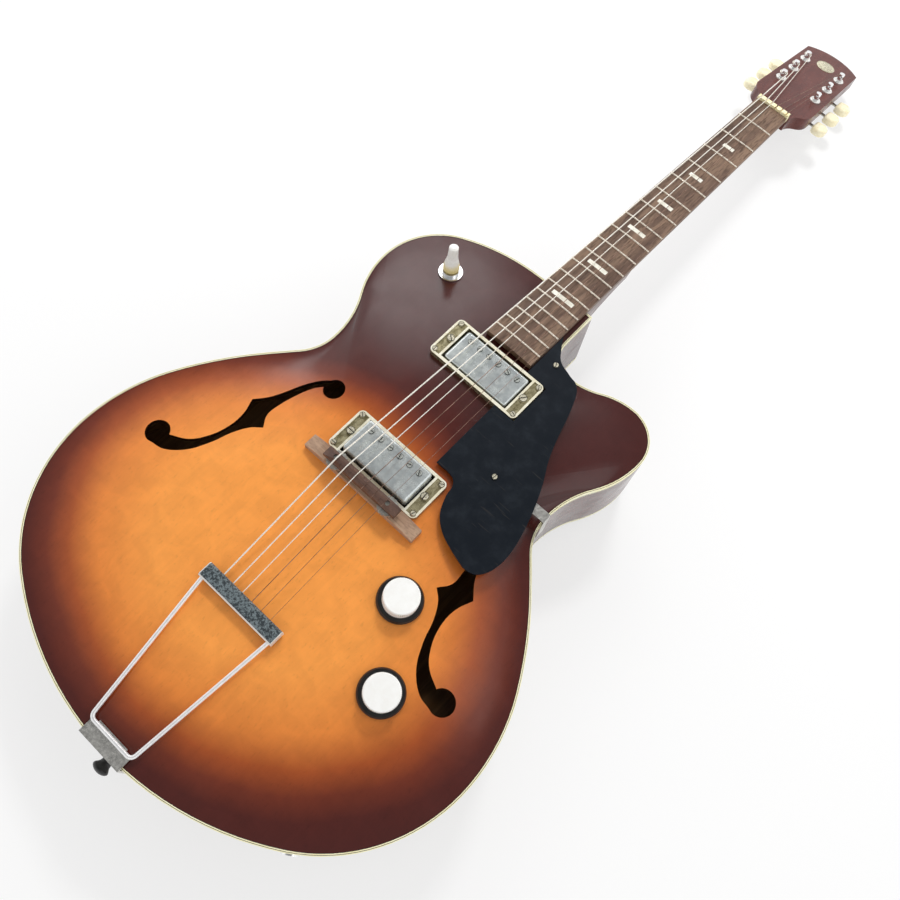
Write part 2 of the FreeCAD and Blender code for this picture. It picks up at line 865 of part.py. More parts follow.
def top_plate():
    plate = arched_plate(v.top_arch)
    plate.translate(Vector(0, 0, RIM_Z))
    cutters = [f_hole(-1), f_hole(1), pickup_opening(NECK_RING_AT), pickup_opening(BRIDGE_RING_AT)]
    for name, place in CONTROL_PLACES.items():
        hole = Part.makeCylinder(HOLE_RADII[name] + v.hole_play, v.overrun, Vector(0, 0, -v.overrun / 2))
        cutters.append(placed(hole, place))
    for cutter in cutters:
        plate = plate.cut(cutter)
    return plate


def back_plate():
    plate = arched_plate(v.back_arch).mirror(Vector(), Z_AXIS)
    plate.translate(Vector(0, 0, v.back_arch))
    return plate


def band(outer_inset, inner_inset, low, high):
    """A closed band that follows the outline, between two insets and two heights above the rim."""
    outer = Part.Face(ring_wire(inset(OUTLINE, outer_inset)))
    inner = Part.Face(ring_wire(inset(OUTLINE, inner_inset)))
    return upright(outer.cut(inner), RIM_Z + low, RIM_Z + high)


def half_of(shape, side):
    """The part of a shape on one side of the centre line."""
    wide = v.lower_bout
    middle = spot(side * wide / 2, v.body_length / 2, 0)
    return shape.common(block(wide, 2 * v.body_length, 0, 2 * RIM_Z, middle))


def sound_box():
    top_binding = band(0, v.binding_wide, -v.binding_deep, 0)
    back_binding = band(0, v.binding_wide, -v.rim_depth, v.binding_deep - v.rim_depth)
    inner_top, inner_back = -v.plate_thick, v.plate_thick - v.rim_depth
    ribs = band(0, v.rib_thick, inner_back, inner_top).cut(top_binding).cut(back_binding)
    jack_hole = Part.makeCylinder(v.jack_barrel, v.overrun, Vector(0, 0, -v.overrun / 2))
    jack_hole = placed(jack_hole, JACK_PLACE)
    pin_hole = rod(v.pin_shank, PIN_POINT - Y_AXIS * v.overrun, PIN_POINT + Y_AXIS * v.overrun)
    shaped("bass_rib", half_of(ribs, -1).cut(pin_hole))
    shaped("treble_rib", half_of(ribs, 1).cut(pin_hole).cut(jack_hole))
    shaped("top_binding", top_binding)
    shaped("back_binding", back_binding)
    neck_block = block(v.neck_block_wide, v.neck_block_long, RIM_Z + inner_back, RIM_Z + inner_top,
                       spot(0, v.rib_thick + v.neck_block_long / 2, 0))
    inner_wall = Part.Face(ring_wire(inset(OUTLINE, v.rib_thick)))
    inside = upright(inner_wall, RIM_Z + inner_back, RIM_Z + inner_top)
    end_block = block(v.end_block_wide, 2 * v.end_block_long, RIM_Z + inner_back, RIM_Z + inner_top,
                      spot(0, v.body_length - v.rib_thick, 0)).common(inside).cut(pin_hole)
    neck_block = neck_block.common(inside)
    shaped("neck_block", neck_block)
    shaped("end_block", end_block)
    inner = v.rib_thick + v.lining_wide
    linings = [
        band(v.rib_thick, inner, inner_top - v.lining_deep, inner_top),
        band(v.rib_thick, inner, inner_back, inner_back + v.lining_deep),
    ]
    group("linings", [ring.cut(neck_block).cut(end_block) for ring in linings])
    under = TOP_MOUND.copy()
    under.translate(Vector(0, 0, inner_top))
    bar_long = TONE_BAR_LONG_SHARE * v.body_length
    middle = TONE_BAR_SHARE * v.body_length + bar_long / 2
    bars = []
    for side in (-1, 1):
        bar = block(v.tone_bar_wide, bar_long, RIM_Z + inner_top, RIM_Z + v.overrun,
                    spot(side * v.tone_bar_out, middle, 0))
        bars.append(bar.common(under))
    group("tone_bars", bars)


# The output jack's place, where the two arcs of the lower treble bout meet
JACK_KNEE = OUTLINE[11]
JACK_PLACE = facing(JACK_KNEE[0] + Z_AXIS * (RIM_Z - v.jack_at), -left_of(JACK_KNEE[2]))
PIN_POINT = spot(0, v.body_length, -v.pin_at)


# Neck, fretboard and headstock. The neck's own frame has its origin on the board at the body joint.

def board_half(along):
    """Half the board's width at a place along the neck's frame."""
    share = (JOINT_FROM_NUT - along) / v.board_long
    return (v.nut_span + (v.board_end_span - v.nut_span) * share) / 2


def board_blank(camber_extra, low):
    """The tapered board under its cambered top, which may be raised or lowered."""
    nut, end = board_half(JOINT_FROM_NUT), board_half(BOARD_END)
    plan = [Vector(-nut, JOINT_FROM_NUT, 0), Vector(-end, BOARD_END, 0), Vector(end, BOARD_END, 0),
            Vector(nut, JOINT_FROM_NUT, 0)]
    tapered = upright(Part.Face(Part.makePolygon(plan + plan[:1])), low, v.board_thick)
    radius = v.board_camber + camber_extra
    axis = Vector(0, BOARD_END - v.overrun, -v.board_camber)
    return tapered.common(Part.makeCylinder(radius, v.board_long + 2 * v.overrun, axis, Y_AXIS))


def fretboard():
    board = board_blank(0, -v.board_thick)
    crowns = board_blank(v.fret_tall, -v.board_thick).cut(board)
    frets = []
    for number in range(1, FRET_COUNT + 1):
        middle = Vector(0, JOINT_FROM_NUT - fret_at(number), 0)
        wide = v.board_end_span + v.overrun
        frets.append(crowns.common(block(wide, v.fret_wide, -v.board_thick, v.board_thick, middle)))
    markers = []
    for index, number in enumerate(MARKED_FRETS):
        along = JOINT_FROM_NUT - (fret_at(number - 1) + fret_at(number)) / 2
        span = v.marker_span + index * v.marker_growth
        slot = block(span, v.marker_wide, -v.marker_deep, v.board_thick, Vector(0, along, 0))
        markers.append(board.common(slot))
    for marker in markers:
        board = board.cut(marker)
    shaped("fretboard", board, NECK_PLACE)
    frets = group("frets", frets)
    frets.Placement = NECK_PLACE
    markers = group("position_markers", markers)
    markers.Placement = NECK_PLACE


def neck_section(along, deep):
    """A flat-topped round-backed section of the neck, under the board."""
    half = board_half(along)
    ends = [Vector(-half, along, -v.board_thick), Vector(half, along, -v.board_thick)]
    back = Vector(0, along, -v.board_thick - deep)
    return Part.Wire([Part.makeLine(ends[0], ends[1]), Part.Arc(ends[1], back, ends[0]).toShape()])


def heel():
    """The heel: a side curve, a tapered front and a rounded nose, each square to the others."""
    half = board_half(0)
    back_drop = v.board_thick + v.neck_deep_heel
    start = NECK_PLACE.multVec(Vector(0, v.heel_run, -back_drop))
    away = NECK_PLACE.Rotation.multVec(Y_AXIS)
    foot = RIM_Z - v.heel_deep
    under_board = RIM_Z + v.board_rise - v.board_thick / math.cos(PITCH)

    def flat(point):
        return Vector(point.y, point.z, 0)

    cap = Vector(JOINT_Y + v.heel_cap, foot, 0)
    knee, way = biarc_knee(cap, Vector(0, 1, 0), flat(start), flat(away))
    top_far = flat(NECK_PLACE.multVec(Vector(0, v.heel_run, -v.board_thick)))
    side = [arc_from(cap, Vector(0, 1, 0), knee), arc_from(knee, way, flat(start))]
    loop = [flat(start), top_far, Vector(JOINT_Y, under_board, 0), Vector(JOINT_Y, foot, 0), cap]
    side += [Part.makeLine(a, b) for a, b in zip(loop, loop[1:])]
    side_face = face_of(side)
    side_face.Placement = Placement(Vector(-half, 0, 0), Rotation(Vector(1, 1, 1), 120))
    profile = side_face.extrude(X_AXIS * 2 * half)
    foot_half = v.heel_foot / 2
    front = [Vector(-half, 0, under_board), Vector(-foot_half, 0, foot), Vector(foot_half, 0, foot),
             Vector(half, 0, under_board)]
    front = Part.Face(Part.makePolygon(front + front[:1])).extrude(Y_AXIS * (JOINT_Y + v.heel_run))
    nose_far = JOINT_Y + v.heel_run
    nose_near = JOINT_Y + v.heel_round
    corners = [Vector(-half, nose_near, 0), Vector(-half, JOINT_Y, 0), Vector(half, JOINT_Y, 0),
               Vector(half, nose_near, 0)]
    nose = [Part.makeLine(a, b) for a, b in zip(corners, corners[1:])]
    nose.append(Part.Arc(corners[-1], Vector(0, nose_far, 0), corners[0]).toShape())
    return profile.common(front).common(upright(face_of(nose), 0, 2 * RIM_Z))


def head_blank():
    """The headstock in its own frame: X across, Y away from the nut, Z out of its face."""
    throat, flare = v.head_throat / 2, v.head_wide / 2
    corner = v.head_top_wide / 2
    start = v.nut_long
    near = [Vector(throat, start, 0), Vector(flare, v.head_flare_at, 0)]
    knee, way = biarc_knee(near[0], Y_AXIS, near[1], Y_AXIS)
    top = Vector(0, v.head_long, 0)
    shoulder = Vector(corner, v.head_corner_at, 0)
    right = [arc_from(near[0], Y_AXIS, knee), arc_from(knee, way, near[1])]
    right += [Part.makeLine(near[1], shoulder), arc_from(top, X_AXIS, shoulder)]
    left = [edge.mirror(Vector(), X_AXIS) for edge in right]
    throat_line = Part.makeLine(Vector(-throat, start, 0), near[0])
    wire = Part.Wire(Part.__sortEdges__(right + left + [throat_line]))
    return upright(Part.Face(wire), -v.head_thick, 0)


def neck():
    nut_end = JOINT_FROM_NUT + v.nut_long
    sections = [
        neck_section(nut_end, v.neck_deep_nut),
        neck_section(JOINT_FROM_NUT / 2, (v.neck_deep_nut + v.neck_deep_heel) / 2),
        neck_section(0, v.neck_deep_heel),
    ]
    shaft = placed(Part.makeLoft(sections, True, False), NECK_PLACE)
    body_side = block(v.lower_bout, v.body_length, 0, 2 * RIM_Z, spot(0, v.body_length / 2, 0))
    head = head_blank()
    for place in tuner_places():
        bore = Part.makeCylinder(v.post_radius + v.post_clear, v.overrun, place.Base - Z_AXIS * v.overrun)
        sleeve = Part.makeCylinder(v.post_radius + v.bushing_wall + v.run_gap, v.overrun,
                                   place.Base - Z_AXIS * v.bushing_long)
        head = head.cut(bore).cut(sleeve)
    channel = placed(truss_blank(), NECK_PLACE)
    whole = shaft.cut(body_side).fuse(heel()).fuse(placed(head, HEAD_PLACE)).cut(channel)
    return whole.removeSplitter()


def truss_blank():
    middle = Vector(0, JOINT_FROM_NUT / 2, 0)
    return block(v.truss_wide, v.truss_long, -v.board_thick - v.truss_deep, -v.board_thick, middle)


def string_offset(span, index):
    """How far out a string lies, from the bass side, where six strings share a span."""
    return span * (index / (len(STRING_DIAMETERS) - 1) - 0.5)


def nut():
    half = e.nut_span / 2
    points = [(-half, -e.board_thick), (half, -e.board_thick), (half, e.nut_tall), (-half, e.nut_tall)]
    seat = NECK_PLACE.multiply(Placement(Vector(0, JOINT_FROM_NUT + v.nut_long / 2, 0), Rotation()))
    body = padded("nut_blank", "XZ_Plane", points, e.nut_long, seat)
    slots = []
    for index in range(len(STRING_DIAMETERS)):
        out = string_offset(v.string_nut_span, index)
        middle = Vector(out, JOINT_FROM_NUT, 0)
        slot = block(v.nut_slot_wide, v.overrun, v.string_nut_lift, v.overrun, middle)
        slots.append(placed(slot, NECK_PLACE))
    cut_from("nut", body, blank("nut_slots", Part.makeCompound(slots)))


def head_badge():
    """A bare oval plate on the headstock's face."""
    oval = Part.Ellipse(Vector(0, v.badge_at, 0), v.badge_wide / 2, v.badge_tall / 2).toShape()
    shaped("head_badge", upright(Part.Face(Part.Wire(oval)), 0, v.badge_thick), HEAD_PLACE)


# Tuners, in the headstock's frame

def tuner_places():
    """Post places on the headstock's face: the bass side from the nut, then the treble side."""
    places = []
    for side in (-1, 1):
        for index in range(TUNERS_A_SIDE):
            along = v.tuner_first_at + index * v.tuner_step
            places.append(Placement(Vector(side * v.tuner_out, along, 0), Rotation()))
    return places


GEAR_RADIUS = v.gear_module * GEAR_TEETH / 2
WORM_PITCH = math.pi * v.gear_module
WORM_APART = GEAR_RADIUS + v.worm_radius
STRIP_LOW = -v.head_thick - v.strip_thick
WORM_LEVEL = STRIP_LOW - v.worm_drop
LEAD = WORM_PITCH / (2 * math.pi * v.worm_radius)
FLANK = math.tan(math.radians(v.tooth_flank))
TOOTH_THICK = (WORM_PITCH - v.tooth_play) / 2


def worm_shaft():
    """Worm, shaft and button about X, with a thread crest at zero facing the gear on +Y."""
    root = v.worm_radius - v.tooth_low
    tip = v.worm_radius + v.tooth_high
    turns = v.worm_long / WORM_PITCH
    helix = Part.makeHelix(WORM_PITCH, v.worm_long, v.worm_radius)
    base = root - v.run_gap
    base_half = TOOTH_THICK / 2 + (v.worm_radius - base) * FLANK
    tip_half = TOOTH_THICK / 2 - v.tooth_high * FLANK
    tooth = [Vector(base, 0, -base_half), Vector(tip, 0, -tip_half), Vector(tip, 0, tip_half),
             Vector(base, 0, base_half)]
    thread = Part.Wire(helix.Edges).makePipeShell([Part.makePolygon(tooth + tooth[:1])], True, True)
    thread.rotate(Vector(), Z_AXIS, 90 - turns * 180)
    thread.translate(Vector(0, 0, -v.worm_long / 2))
    thread.rotate(Vector(), Y_AXIS, 90)
    half_gap = v.ear_gap / 2
    inner_end = -half_gap - v.ear_thick
    core_half = half_gap - v.seat_gap
    core = rod(root, Vector(-core_half, 0, 0), Vector(core_half, 0, 0))
    shaft = rod(v.shaft_radius, Vector(inner_end, 0, 0), Vector(v.button_at + v.button_edge, 0, 0))
    return core.fuse(thread).fuse(shaft).fuse(button())


def button():
    """The finger button: a half-round plate with rounded edges, standing out along X."""
    start, end = v.button_at, v.button_at + v.button_long
    half = v.button_wide / 2
    stem = v.button_wide / 4
    middle = start + v.button_long / 2
    points = [Vector(start, stem, 0), Vector(middle, half, 0), Vector(end, 0, 0), Vector(middle, -half, 0),
              Vector(start, -stem, 0)]
    ways = [Y_AXIS, X_AXIS, -Y_AXIS, -X_AXIS, Y_AXIS]
    runs = [Part.makeLine(points[-1], points[0])]
    for index in range(len(points) - 1):
        knee, way = biarc_knee(points[index], ways[index], points[index + 1], ways[index + 1])
        runs += [arc_from(points[index], ways[index], knee), arc_from(knee, way, points[index + 1])]
    thick = v.button_thick / 2
    plate = upright(face_of(runs), -thick, thick)
    rims = [edge for edge in plate.Edges if abs(abs(edge.CenterOfMass.z) - thick) < v.run_gap]
    return plate.makeFillet(v.button_edge, rims)


def post_gear():
    """String post and gear about Z, with a gap between teeth facing the worm on -Y."""
    root = GEAR_RADIUS - v.tooth_low
    low = WORM_LEVEL - v.gear_wide / 2
    gear = Part.makeCylinder(root, v.gear_wide, Vector(0, 0, low))
    root_half = TOOTH_THICK / 2 + v.tooth_low * FLANK
    tip_half = TOOTH_THICK / 2 - v.tooth_high * FLANK
    inner = root * math.cos(math.asin(root_half / root)) - v.run_gap
    tip = GEAR_RADIUS + v.tooth_high
    lean = LEAD * v.gear_wide
    tooth = [Vector(inner, -root_half, low), Vector(tip, -tip_half, low), Vector(tip, tip_half, low),
             Vector(inner, root_half, low)]
    tooth = Part.Face(Part.makePolygon(tooth + tooth[:1]))
    tooth.translate(Vector(0, -lean / 2, 0))
    tooth = tooth.extrude(Vector(0, lean, v.gear_wide))
    step = 360 / GEAR_TEETH
    for index in range(GEAR_TEETH):
        copy = tooth.copy()
        copy.rotate(Vector(), Z_AXIS, -90 + (index + 0.5) * step)
        gear = gear.fuse(copy)
    post = Part.makeCylinder(v.post_radius, v.post_tall - low, Vector(0, 0, low))
    level = WIND_LEVEL
    hole = rod(v.post_hole, Vector(0, -v.overrun, level), Vector(0, v.overrun, level))
    return gear.fuse(post).cut(hole).removeSplitter()


def tuners():
    worm, gear = worm_shaft(), post_gear()
    strips, bushings = [], []
    sleeve = v.post_radius + v.bushing_wall
    bushing = Part.makeCylinder(sleeve, v.bushing_long, Vector(0, 0, -v.bushing_long))
    bushing = bushing.fuse(Part.makeCylinder(v.bushing_flange, v.bushing_flange_thick))
    bore_tall = v.bushing_long + v.bushing_flange_thick
    bore = Part.makeCylinder(v.post_radius + v.run_gap, bore_tall, Vector(0, 0, -v.bushing_long))
    bushing = bushing.cut(bore)
    for number, place in enumerate(tuner_places(), start=1):
        side = -1 if place.Base.x < 0 else 1
        worm_at = Placement(place.Base + Vector(0, -WORM_APART, WORM_LEVEL), Rotation())
        mirrored_worm = worm if side > 0 else worm.mirror(Vector(), X_AXIS)
        mirrored_gear = gear if side > 0 else gear.mirror(Vector(), X_AXIS)
        shaped("tuner_button_%d" % number, mirrored_worm, HEAD_PLACE.multiply(worm_at))
        shaped("tuner_post_%d" % number, mirrored_gear, HEAD_PLACE.multiply(place))
        bushings.append(placed(bushing, HEAD_PLACE.multiply(place)))
    for side in (-1, 1):
        strips.append(placed(tuner_strip(side), HEAD_PLACE))
    group("tuner_strips", strips)
    group("tuner_bushings", bushings)


def tuner_strip(side):
    """One base strip with a pair of bent ears for each worm shaft."""
    span = v.tuner_step * (TUNERS_A_SIDE - 1) + 2 * v.strip_overhang
    middle = Vector(side * v.tuner_out, v.tuner_first_at + v.tuner_step * (TUNERS_A_SIDE - 1) / 2, 0)
    strip = block(v.strip_wide, span, STRIP_LOW, -v.head_thick, middle)
    foot = WORM_LEVEL - v.shaft_radius - v.ear_margin
    for place in tuner_places():
        if place.Base.x * side < 0:
            continue
        worm = place.Base + Vector(0, -WORM_APART, WORM_LEVEL)
        for end in (-1, 1):
            offset = Vector(end * (v.ear_gap + v.ear_thick) / 2, 0, 0)
            strip = strip.fuse(block(v.ear_thick, v.ear_wide, foot, STRIP_LOW, worm + offset))
        reach = X_AXIS * v.strip_wide
        strip = strip.cut(rod(v.shaft_radius + v.run_gap, worm - reach, worm + reach))
        strip = strip.cut(rod(v.post_radius + v.post_clear, place.Base - Z_AXIS * v.overrun, place.Base))
    return strip.removeSplitter()


def strip_screws():
    """Places of the screws at each strip's ends, looking out of the headstock's back."""
    places = []
    margin = v.strip_overhang / 2
    last = v.tuner_first_at + v.tuner_step * (TUNERS_A_SIDE - 1)
    for side in (-1, 1):
        for along in (v.tuner_first_at - v.strip_overhang + v.screw_head * 2, last + margin):
            point = Vector(side * v.tuner_out, along, STRIP_LOW)
            places.append(HEAD_PLACE.multiply(facing(point, -Z_AXIS)))
    return places


# Pickups

PICKUPS = {
    "neck": (NECK_RING_AT, v.neck_ring_top, v.neck_cover_top),
    "bridge": (BRIDGE_RING_AT, v.bridge_ring_top, v.bridge_cover_top),
}


def rounded_plan(long, wide, radius, middle):
    """A rectangle with round corners in plan."""
    box = block(long, wide, 0, v.overrun, middle)
    uprights = [edge for edge in box.Edges if abs(edge.tangentAt(edge.FirstParameter).z) > 0.5]
    return box.makeFillet(radius, uprights)


def pickup_ring(at, top):
    """A ring with a raised lip whose underside follows the arched top."""
    middle = spot(0, at, 0)
    ring = rounded_plan(v.ring_long, v.ring_wide, v.ring_round, middle)
    ring.translate(Vector(0, 0, RIM_Z + top - v.overrun))
    long, wide = v.ring_long - 2 * v.ring_lip, v.ring_wide - 2 * v.ring_lip
    dish = rounded_plan(long, wide, v.ring_round - v.ring_lip, middle)
    dish.translate(Vector(0, 0, RIM_Z + top - v.ring_dish))
    window_long, window_wide = v.cover_long + 2 * v.cover_play, v.cover_wide + 2 * v.cover_play
    window = block(window_long, window_wide, 0, 2 * RIM_Z, middle)
    floor = block(v.ring_long, v.ring_wide, 0, RIM_Z, middle)
    collar = block(window_long + 2 * v.ring_lip, window_wide + v.ring_lip, RIM_Z, RIM_Z + top, middle)
    dish = dish.cut(collar)
    return ring.cut(dish).cut(window).cut(floor).cut(TOP_MOUND)


def pickups():
    poles, coils = [], []
    for name, (at, ring_top, cover_top) in PICKUPS.items():
        shaped(name + "_pickup_ring", pickup_ring(at, ring_top))
        pickup_cover(name, at, cover_top)
        base = cover_top - v.cover_tall
        inner_long, inner_wide = v.cover_long - 2 * v.cover_wall, v.cover_wide - 2 * v.cover_wall
        middle = spot(0, at, 0)
        coil = block(inner_long, inner_wide, RIM_Z + base, RIM_Z + base + v.coil_tall, middle)
        lug = block(v.lug_long, v.lug_wide, RIM_Z + base - v.lug_thick, RIM_Z + base, middle)
        plate = block(v.cover_long, v.cover_wide, RIM_Z + base - v.lug_thick, RIM_Z + base, middle)
        coils.append(coil.fuse(lug).fuse(plate).removeSplitter())
        for index in range(POLES):
            out = v.pole_step * (index - (POLES - 1) / 2)
            start = spot(out, at - v.pole_off, base + v.coil_tall)
            poles.append(rod(v.pole_radius, start, spot(out, at - v.pole_off, cover_top + v.pole_proud)))
    group("pickup_coils", coils)
    group("pole_screws", poles)


def pickup_cover(name, at, top):
    """A pressed cover, open below, with a row of holes for the pole screws."""
    half_long, half_wide = e.cover_long / 2, e.cover_wide / 2
    signs = ((-1, -1), (1, -1), (1, 1), (-1, 1))
    plan = [(half_long * a, half_wide * b) for a, b in signs]
    label = name + "_pickup_cover"
    body = doc.addObject("PartDesign::Body", label)
    pad = body.newObject("PartDesign::Pad", label + "_pad")
    pad.Profile = profile_sketch(body, "XY_Plane", plan)
    pad.setExpression("Length", "Sizes.cover_tall")
    doc.recompute()
    round_edges = []
    for index, edge in enumerate(pad.Shape.Edges, start=1):
        if edge.BoundBox.ZMax > v.cover_tall / 2:
            round_edges.append("Edge%d" % index)
    fillet = body.newObject("PartDesign::Fillet", label + "_round")
    fillet.Base = (pad, round_edges)
    fillet.setExpression("Radius", "Sizes.cover_round")
    body.Tip = fillet
    doc.recompute()
    inner_long, inner_wide = half_long - e.cover_wall, half_wide - e.cover_wall
    hollow = body.newObject("PartDesign::Pocket", label + "_hollow")
    hollow.Profile = profile_sketch(body, "XY_Plane", [(inner_long * a, inner_wide * b) for a, b in signs])
    hollow.setExpression("Length", "Sizes.cover_tall - 2 * Sizes.cover_wall")
    hollow.Reversed = True
    body.Tip = hollow
    doc.recompute()
    first = -(e.pole_step * ((POLES - 1) / 2))
    bored(body, "XY_Plane", first, e.pole_off, e.pole_radius + e.pole_play, e.pole_step, POLES)
    body.Placement = Placement(spot(0, at, top - v.cover_tall), Rotation())
    keep(label, body)


# Bridge

SADDLE_LOW = v.bridge_top + v.wheel_lift + v.wheel_thick + v.run_gap
SADDLE_TOP = SADDLE_LOW + v.saddle_tall


def bridge():
    half, flat, relief = e.bridge_long / 2, e.bridge_flat / 2, e.bridge_relief / 2
    relief_in = relief - e.bridge_post_radius * 2
    right = [(relief, 0), (half, 0), (half, e.bridge_end_top), (flat, e.bridge_top)]
    left = [(-out, height) for out, height in reversed(right)]
    arch = [(-relief_in, e.bridge_relief_top), (relief_in, e.bridge_relief_top)]
    seat = Placement(spot(0, v.bridge_at, 0), Rotation())
    base = padded("bridge_base_blank", "XZ_Plane", right + left + arch, e.bridge_wide, seat)
    posts = []
    for side in (-1, 1):
        foot = spot(side * v.bridge_post_out, v.bridge_at, v.bridge_top - v.bridge_post_sink)
        head = spot(side * v.bridge_post_out, v.bridge_at, SADDLE_LOW + v.bridge_post_reach)
        posts.append(rod(v.bridge_post_radius, foot, head))
    group("bridge_posts", posts)
    tools = blank("bridge_base_tools", Part.makeCompound(posts + [TOP_MOUND]))
    cut_from("bridge_base", base, tools)
    for name, side in (("bass", -1), ("treble", 1)):
        thumbwheel(name, side)
    saddle()


def thumbwheel(name, side):
    """A notched wheel on a bridge post."""
    bore = e.bridge_post_radius + e.run_gap
    label = name + "_thumbwheel"
    place = Placement(spot(side * v.bridge_post_out, v.bridge_at, v.bridge_top + v.wheel_lift), Rotation())
    points = [(bore, 0), (e.wheel_radius, 0), (e.wheel_radius, e.wheel_thick), (bore, e.wheel_thick)]
    body = turned(label, points, place)
    sketch = body.newObject("Sketcher::SketchObject", label + "_notch")
    plane = [item for item in body.Origin.OriginFeatures if item.Role == "XY_Plane"][0]
    sketch.AttachmentSupport = [(plane, "")]
    sketch.MapMode = "FlatFace"
    sketch.addGeometry(Part.Circle(Vector(v.wheel_radius, 0, 0), Z_AXIS, v.wheel_notch), False)
    for kind, size, text in (("DistanceX", v.wheel_radius, "Sizes.wheel_radius"), ("DistanceY", 0, "0")):
        number = sketch.addConstraint(Sketcher.Constraint(kind, -1, 1, 0, 3, size))
        sketch.setExpression("Constraints[%d]" % number, text)
    number = sketch.addConstraint(Sketcher.Constraint("Radius", 0, v.wheel_notch))
    sketch.setExpression("Constraints[%d]" % number, "Sizes.wheel_notch")
    notch = body.newObject("PartDesign::Pocket", label + "_cut")
    notch.Profile = sketch
    notch.Type = "ThroughAll"
    notch.SideType = "Symmetric"
    body.Tip = notch
    doc.recompute()
    ring = body.newObject("PartDesign::PolarPattern", label + "_notches")
    ring.Originals = [notch]
    ring.Axis = (sketch, ["N_Axis"])
    ring.Angle = 360
    ring.Occurrences = WHEEL_NOTCHES
    body.Tip = ring
    keep(label, body)


def saddle():
    """The string saddle, bored to slide on the bridge posts."""
    half, crown = e.saddle_long / 2, e.saddle_crown / 2
    points = [(-half, 0), (half, 0), (half, e.saddle_end_tall), (crown, e.saddle_tall),
              (-crown, e.saddle_tall), (-half, e.saddle_end_tall)]
    place = Placement(spot(0, v.bridge_at, SADDLE_LOW), Rotation())
    body = padded("saddle_blank", "XZ_Plane", points, e.saddle_wide, place)
    doc.recompute()
    bored(body, "XY_Plane", -e.bridge_post_out, Size.of(0), e.bridge_post_radius + e.run_gap,
          e.bridge_post_out * 2, 2)
    cut_from("bridge_saddle", body, blank("saddle_slopes", placed(saddle_slopes(), place)))


def saddle_slopes():
    """What is cut from both sides of the saddle, so that each string has its own rest."""
    half_wide, slope, top = v.saddle_wide / 2, v.saddle_slope, v.saddle_tall
    step = v.string_bridge_span / (len(STRING_DIAMETERS) - 1)
    wedges = []
    for index, share in enumerate(SADDLE_REST_SHARES):
        middle = string_offset(v.string_bridge_span, index)
        start = -v.saddle_long / 2 if index == 0 else middle - step / 2
        end = v.saddle_long / 2 if index == len(SADDLE_REST_SHARES) - 1 else middle + step / 2
        shift = share * v.saddle_wide
        for side in (-1, 1):
            run = slope + side * shift
            shape = [Vector(start, side * (half_wide - run), top), Vector(start, side * half_wide, top),
                     Vector(start, side * half_wide, top - slope)]
            wedges.append(Part.Face(Part.makePolygon(shape + shape[:1])).extrude(X_AXIS * (end - start)))
    return Part.makeCompound(wedges)


# Tailpiece and end pin

def bent_wire(points, bend):
    """A path of straight runs whose corners are rounded to one radius."""
    runs, start = [], points[0]
    for before, corner, after in zip(points, points[1:], points[2:]):
        come, go = unit(corner - before), unit(after - corner)
        turn = come.getAngle(go)
        reach = bend * math.tan(turn / 2)
        first, last = corner - come * reach, corner + go * reach
        inward = unit(go - come)
        sagitta = bend * (1 / math.cos(turn / 2) - 1)
        runs.append(Part.LineSegment(start, first).toShape())
        runs.append(Part.Arc(first, corner + inward * sagitta, last).toShape())
        start = last
    runs.append(Part.LineSegment(start, points[-1]).toShape())
    return Part.Wire(runs)


def swept(wire, radius):
    """A round rod along a path."""
    start = wire.Edges[0]
    direction = start.tangentAt(start.FirstParameter)
    section = Part.Wire(Part.Circle(start.valueAt(start.FirstParameter), direction, radius).toShape())
    return wire.makePipeShell([section], True, False)


def tailpiece():
    knuckle_level = v.bracket_lift + v.bracket_thick + v.knuckle_radius / 2
    knuckle_at = v.body_length - v.bracket_reach
    bar_mid = v.bar_top - v.bar_thick / 2
    bar_tail = BAR_AT + v.bar_wide / 2
    points = [
        spot(-v.tail_rod_out, bar_tail - v.tail_rod_sink, bar_mid),
        spot(-v.tail_rod_in, knuckle_at, knuckle_level),
        spot(v.tail_rod_in, knuckle_at, knuckle_level),
        spot(v.tail_rod_out, bar_tail - v.tail_rod_sink, bar_mid),
    ]
    frame = shaped("tailpiece_rod", swept(bent_wire(points, v.tail_rod_bend), v.tail_rod_radius))
    half, thick, edge = e.bar_wide / 2, e.bar_thick, e.bar_edge
    outline = [(-half, 0), (half, 0), (half, thick - edge), (half - edge, thick), (edge - half, thick),
               (-half, thick - edge)]
    place = Placement(spot(0, BAR_AT, v.bar_top - v.bar_thick), Rotation())
    bar = padded("bar_blank", "YZ_Plane", outline, e.bar_long, place)
    cut_from("tailpiece_bar", bar, frame)
    tail_bracket(knuckle_at, knuckle_level)
    end_pin()


def tail_bracket(knuckle_at, knuckle_level):
    """A bent plate over the tail edge, curled into a trough that the tailpiece rod lies in."""
    thick, reach, drop = e.bracket_thick, e.bracket_reach, e.bracket_drop
    low, top = e.bracket_lift, e.bracket_lift + e.bracket_thick
    outline = [(reach, low), (0, low), (0, -drop), (-thick, -drop), (-thick, top), (reach, top)]
    place = Placement(spot(0, v.body_length, 0), Rotation())
    plate = padded("bracket_blank", "YZ_Plane", outline, e.bracket_wide, place)
    doc.recompute()
    axis = X_AXIS * v.knuckle_long
    start = spot(-v.knuckle_long / 2, knuckle_at, knuckle_level)
    over = RIM_Z + knuckle_level
    open_top = block(v.bracket_wide, 2 * v.knuckle_radius, over, over + v.knuckle_radius,
                     spot(0, knuckle_at, 0))
    knuckle = rod(v.knuckle_radius, start, start + axis).cut(open_top)
    bore = rod(v.tail_rod_radius + v.run_gap, start - axis, start + 2 * axis)
    pin_hole = rod(v.pin_shank, PIN_POINT - Y_AXIS * v.overrun, PIN_POINT + Y_AXIS * v.overrun)
    shaped("tail_bracket", plate.Shape.fuse(knuckle).cut(bore).cut(pin_hole).removeSplitter())


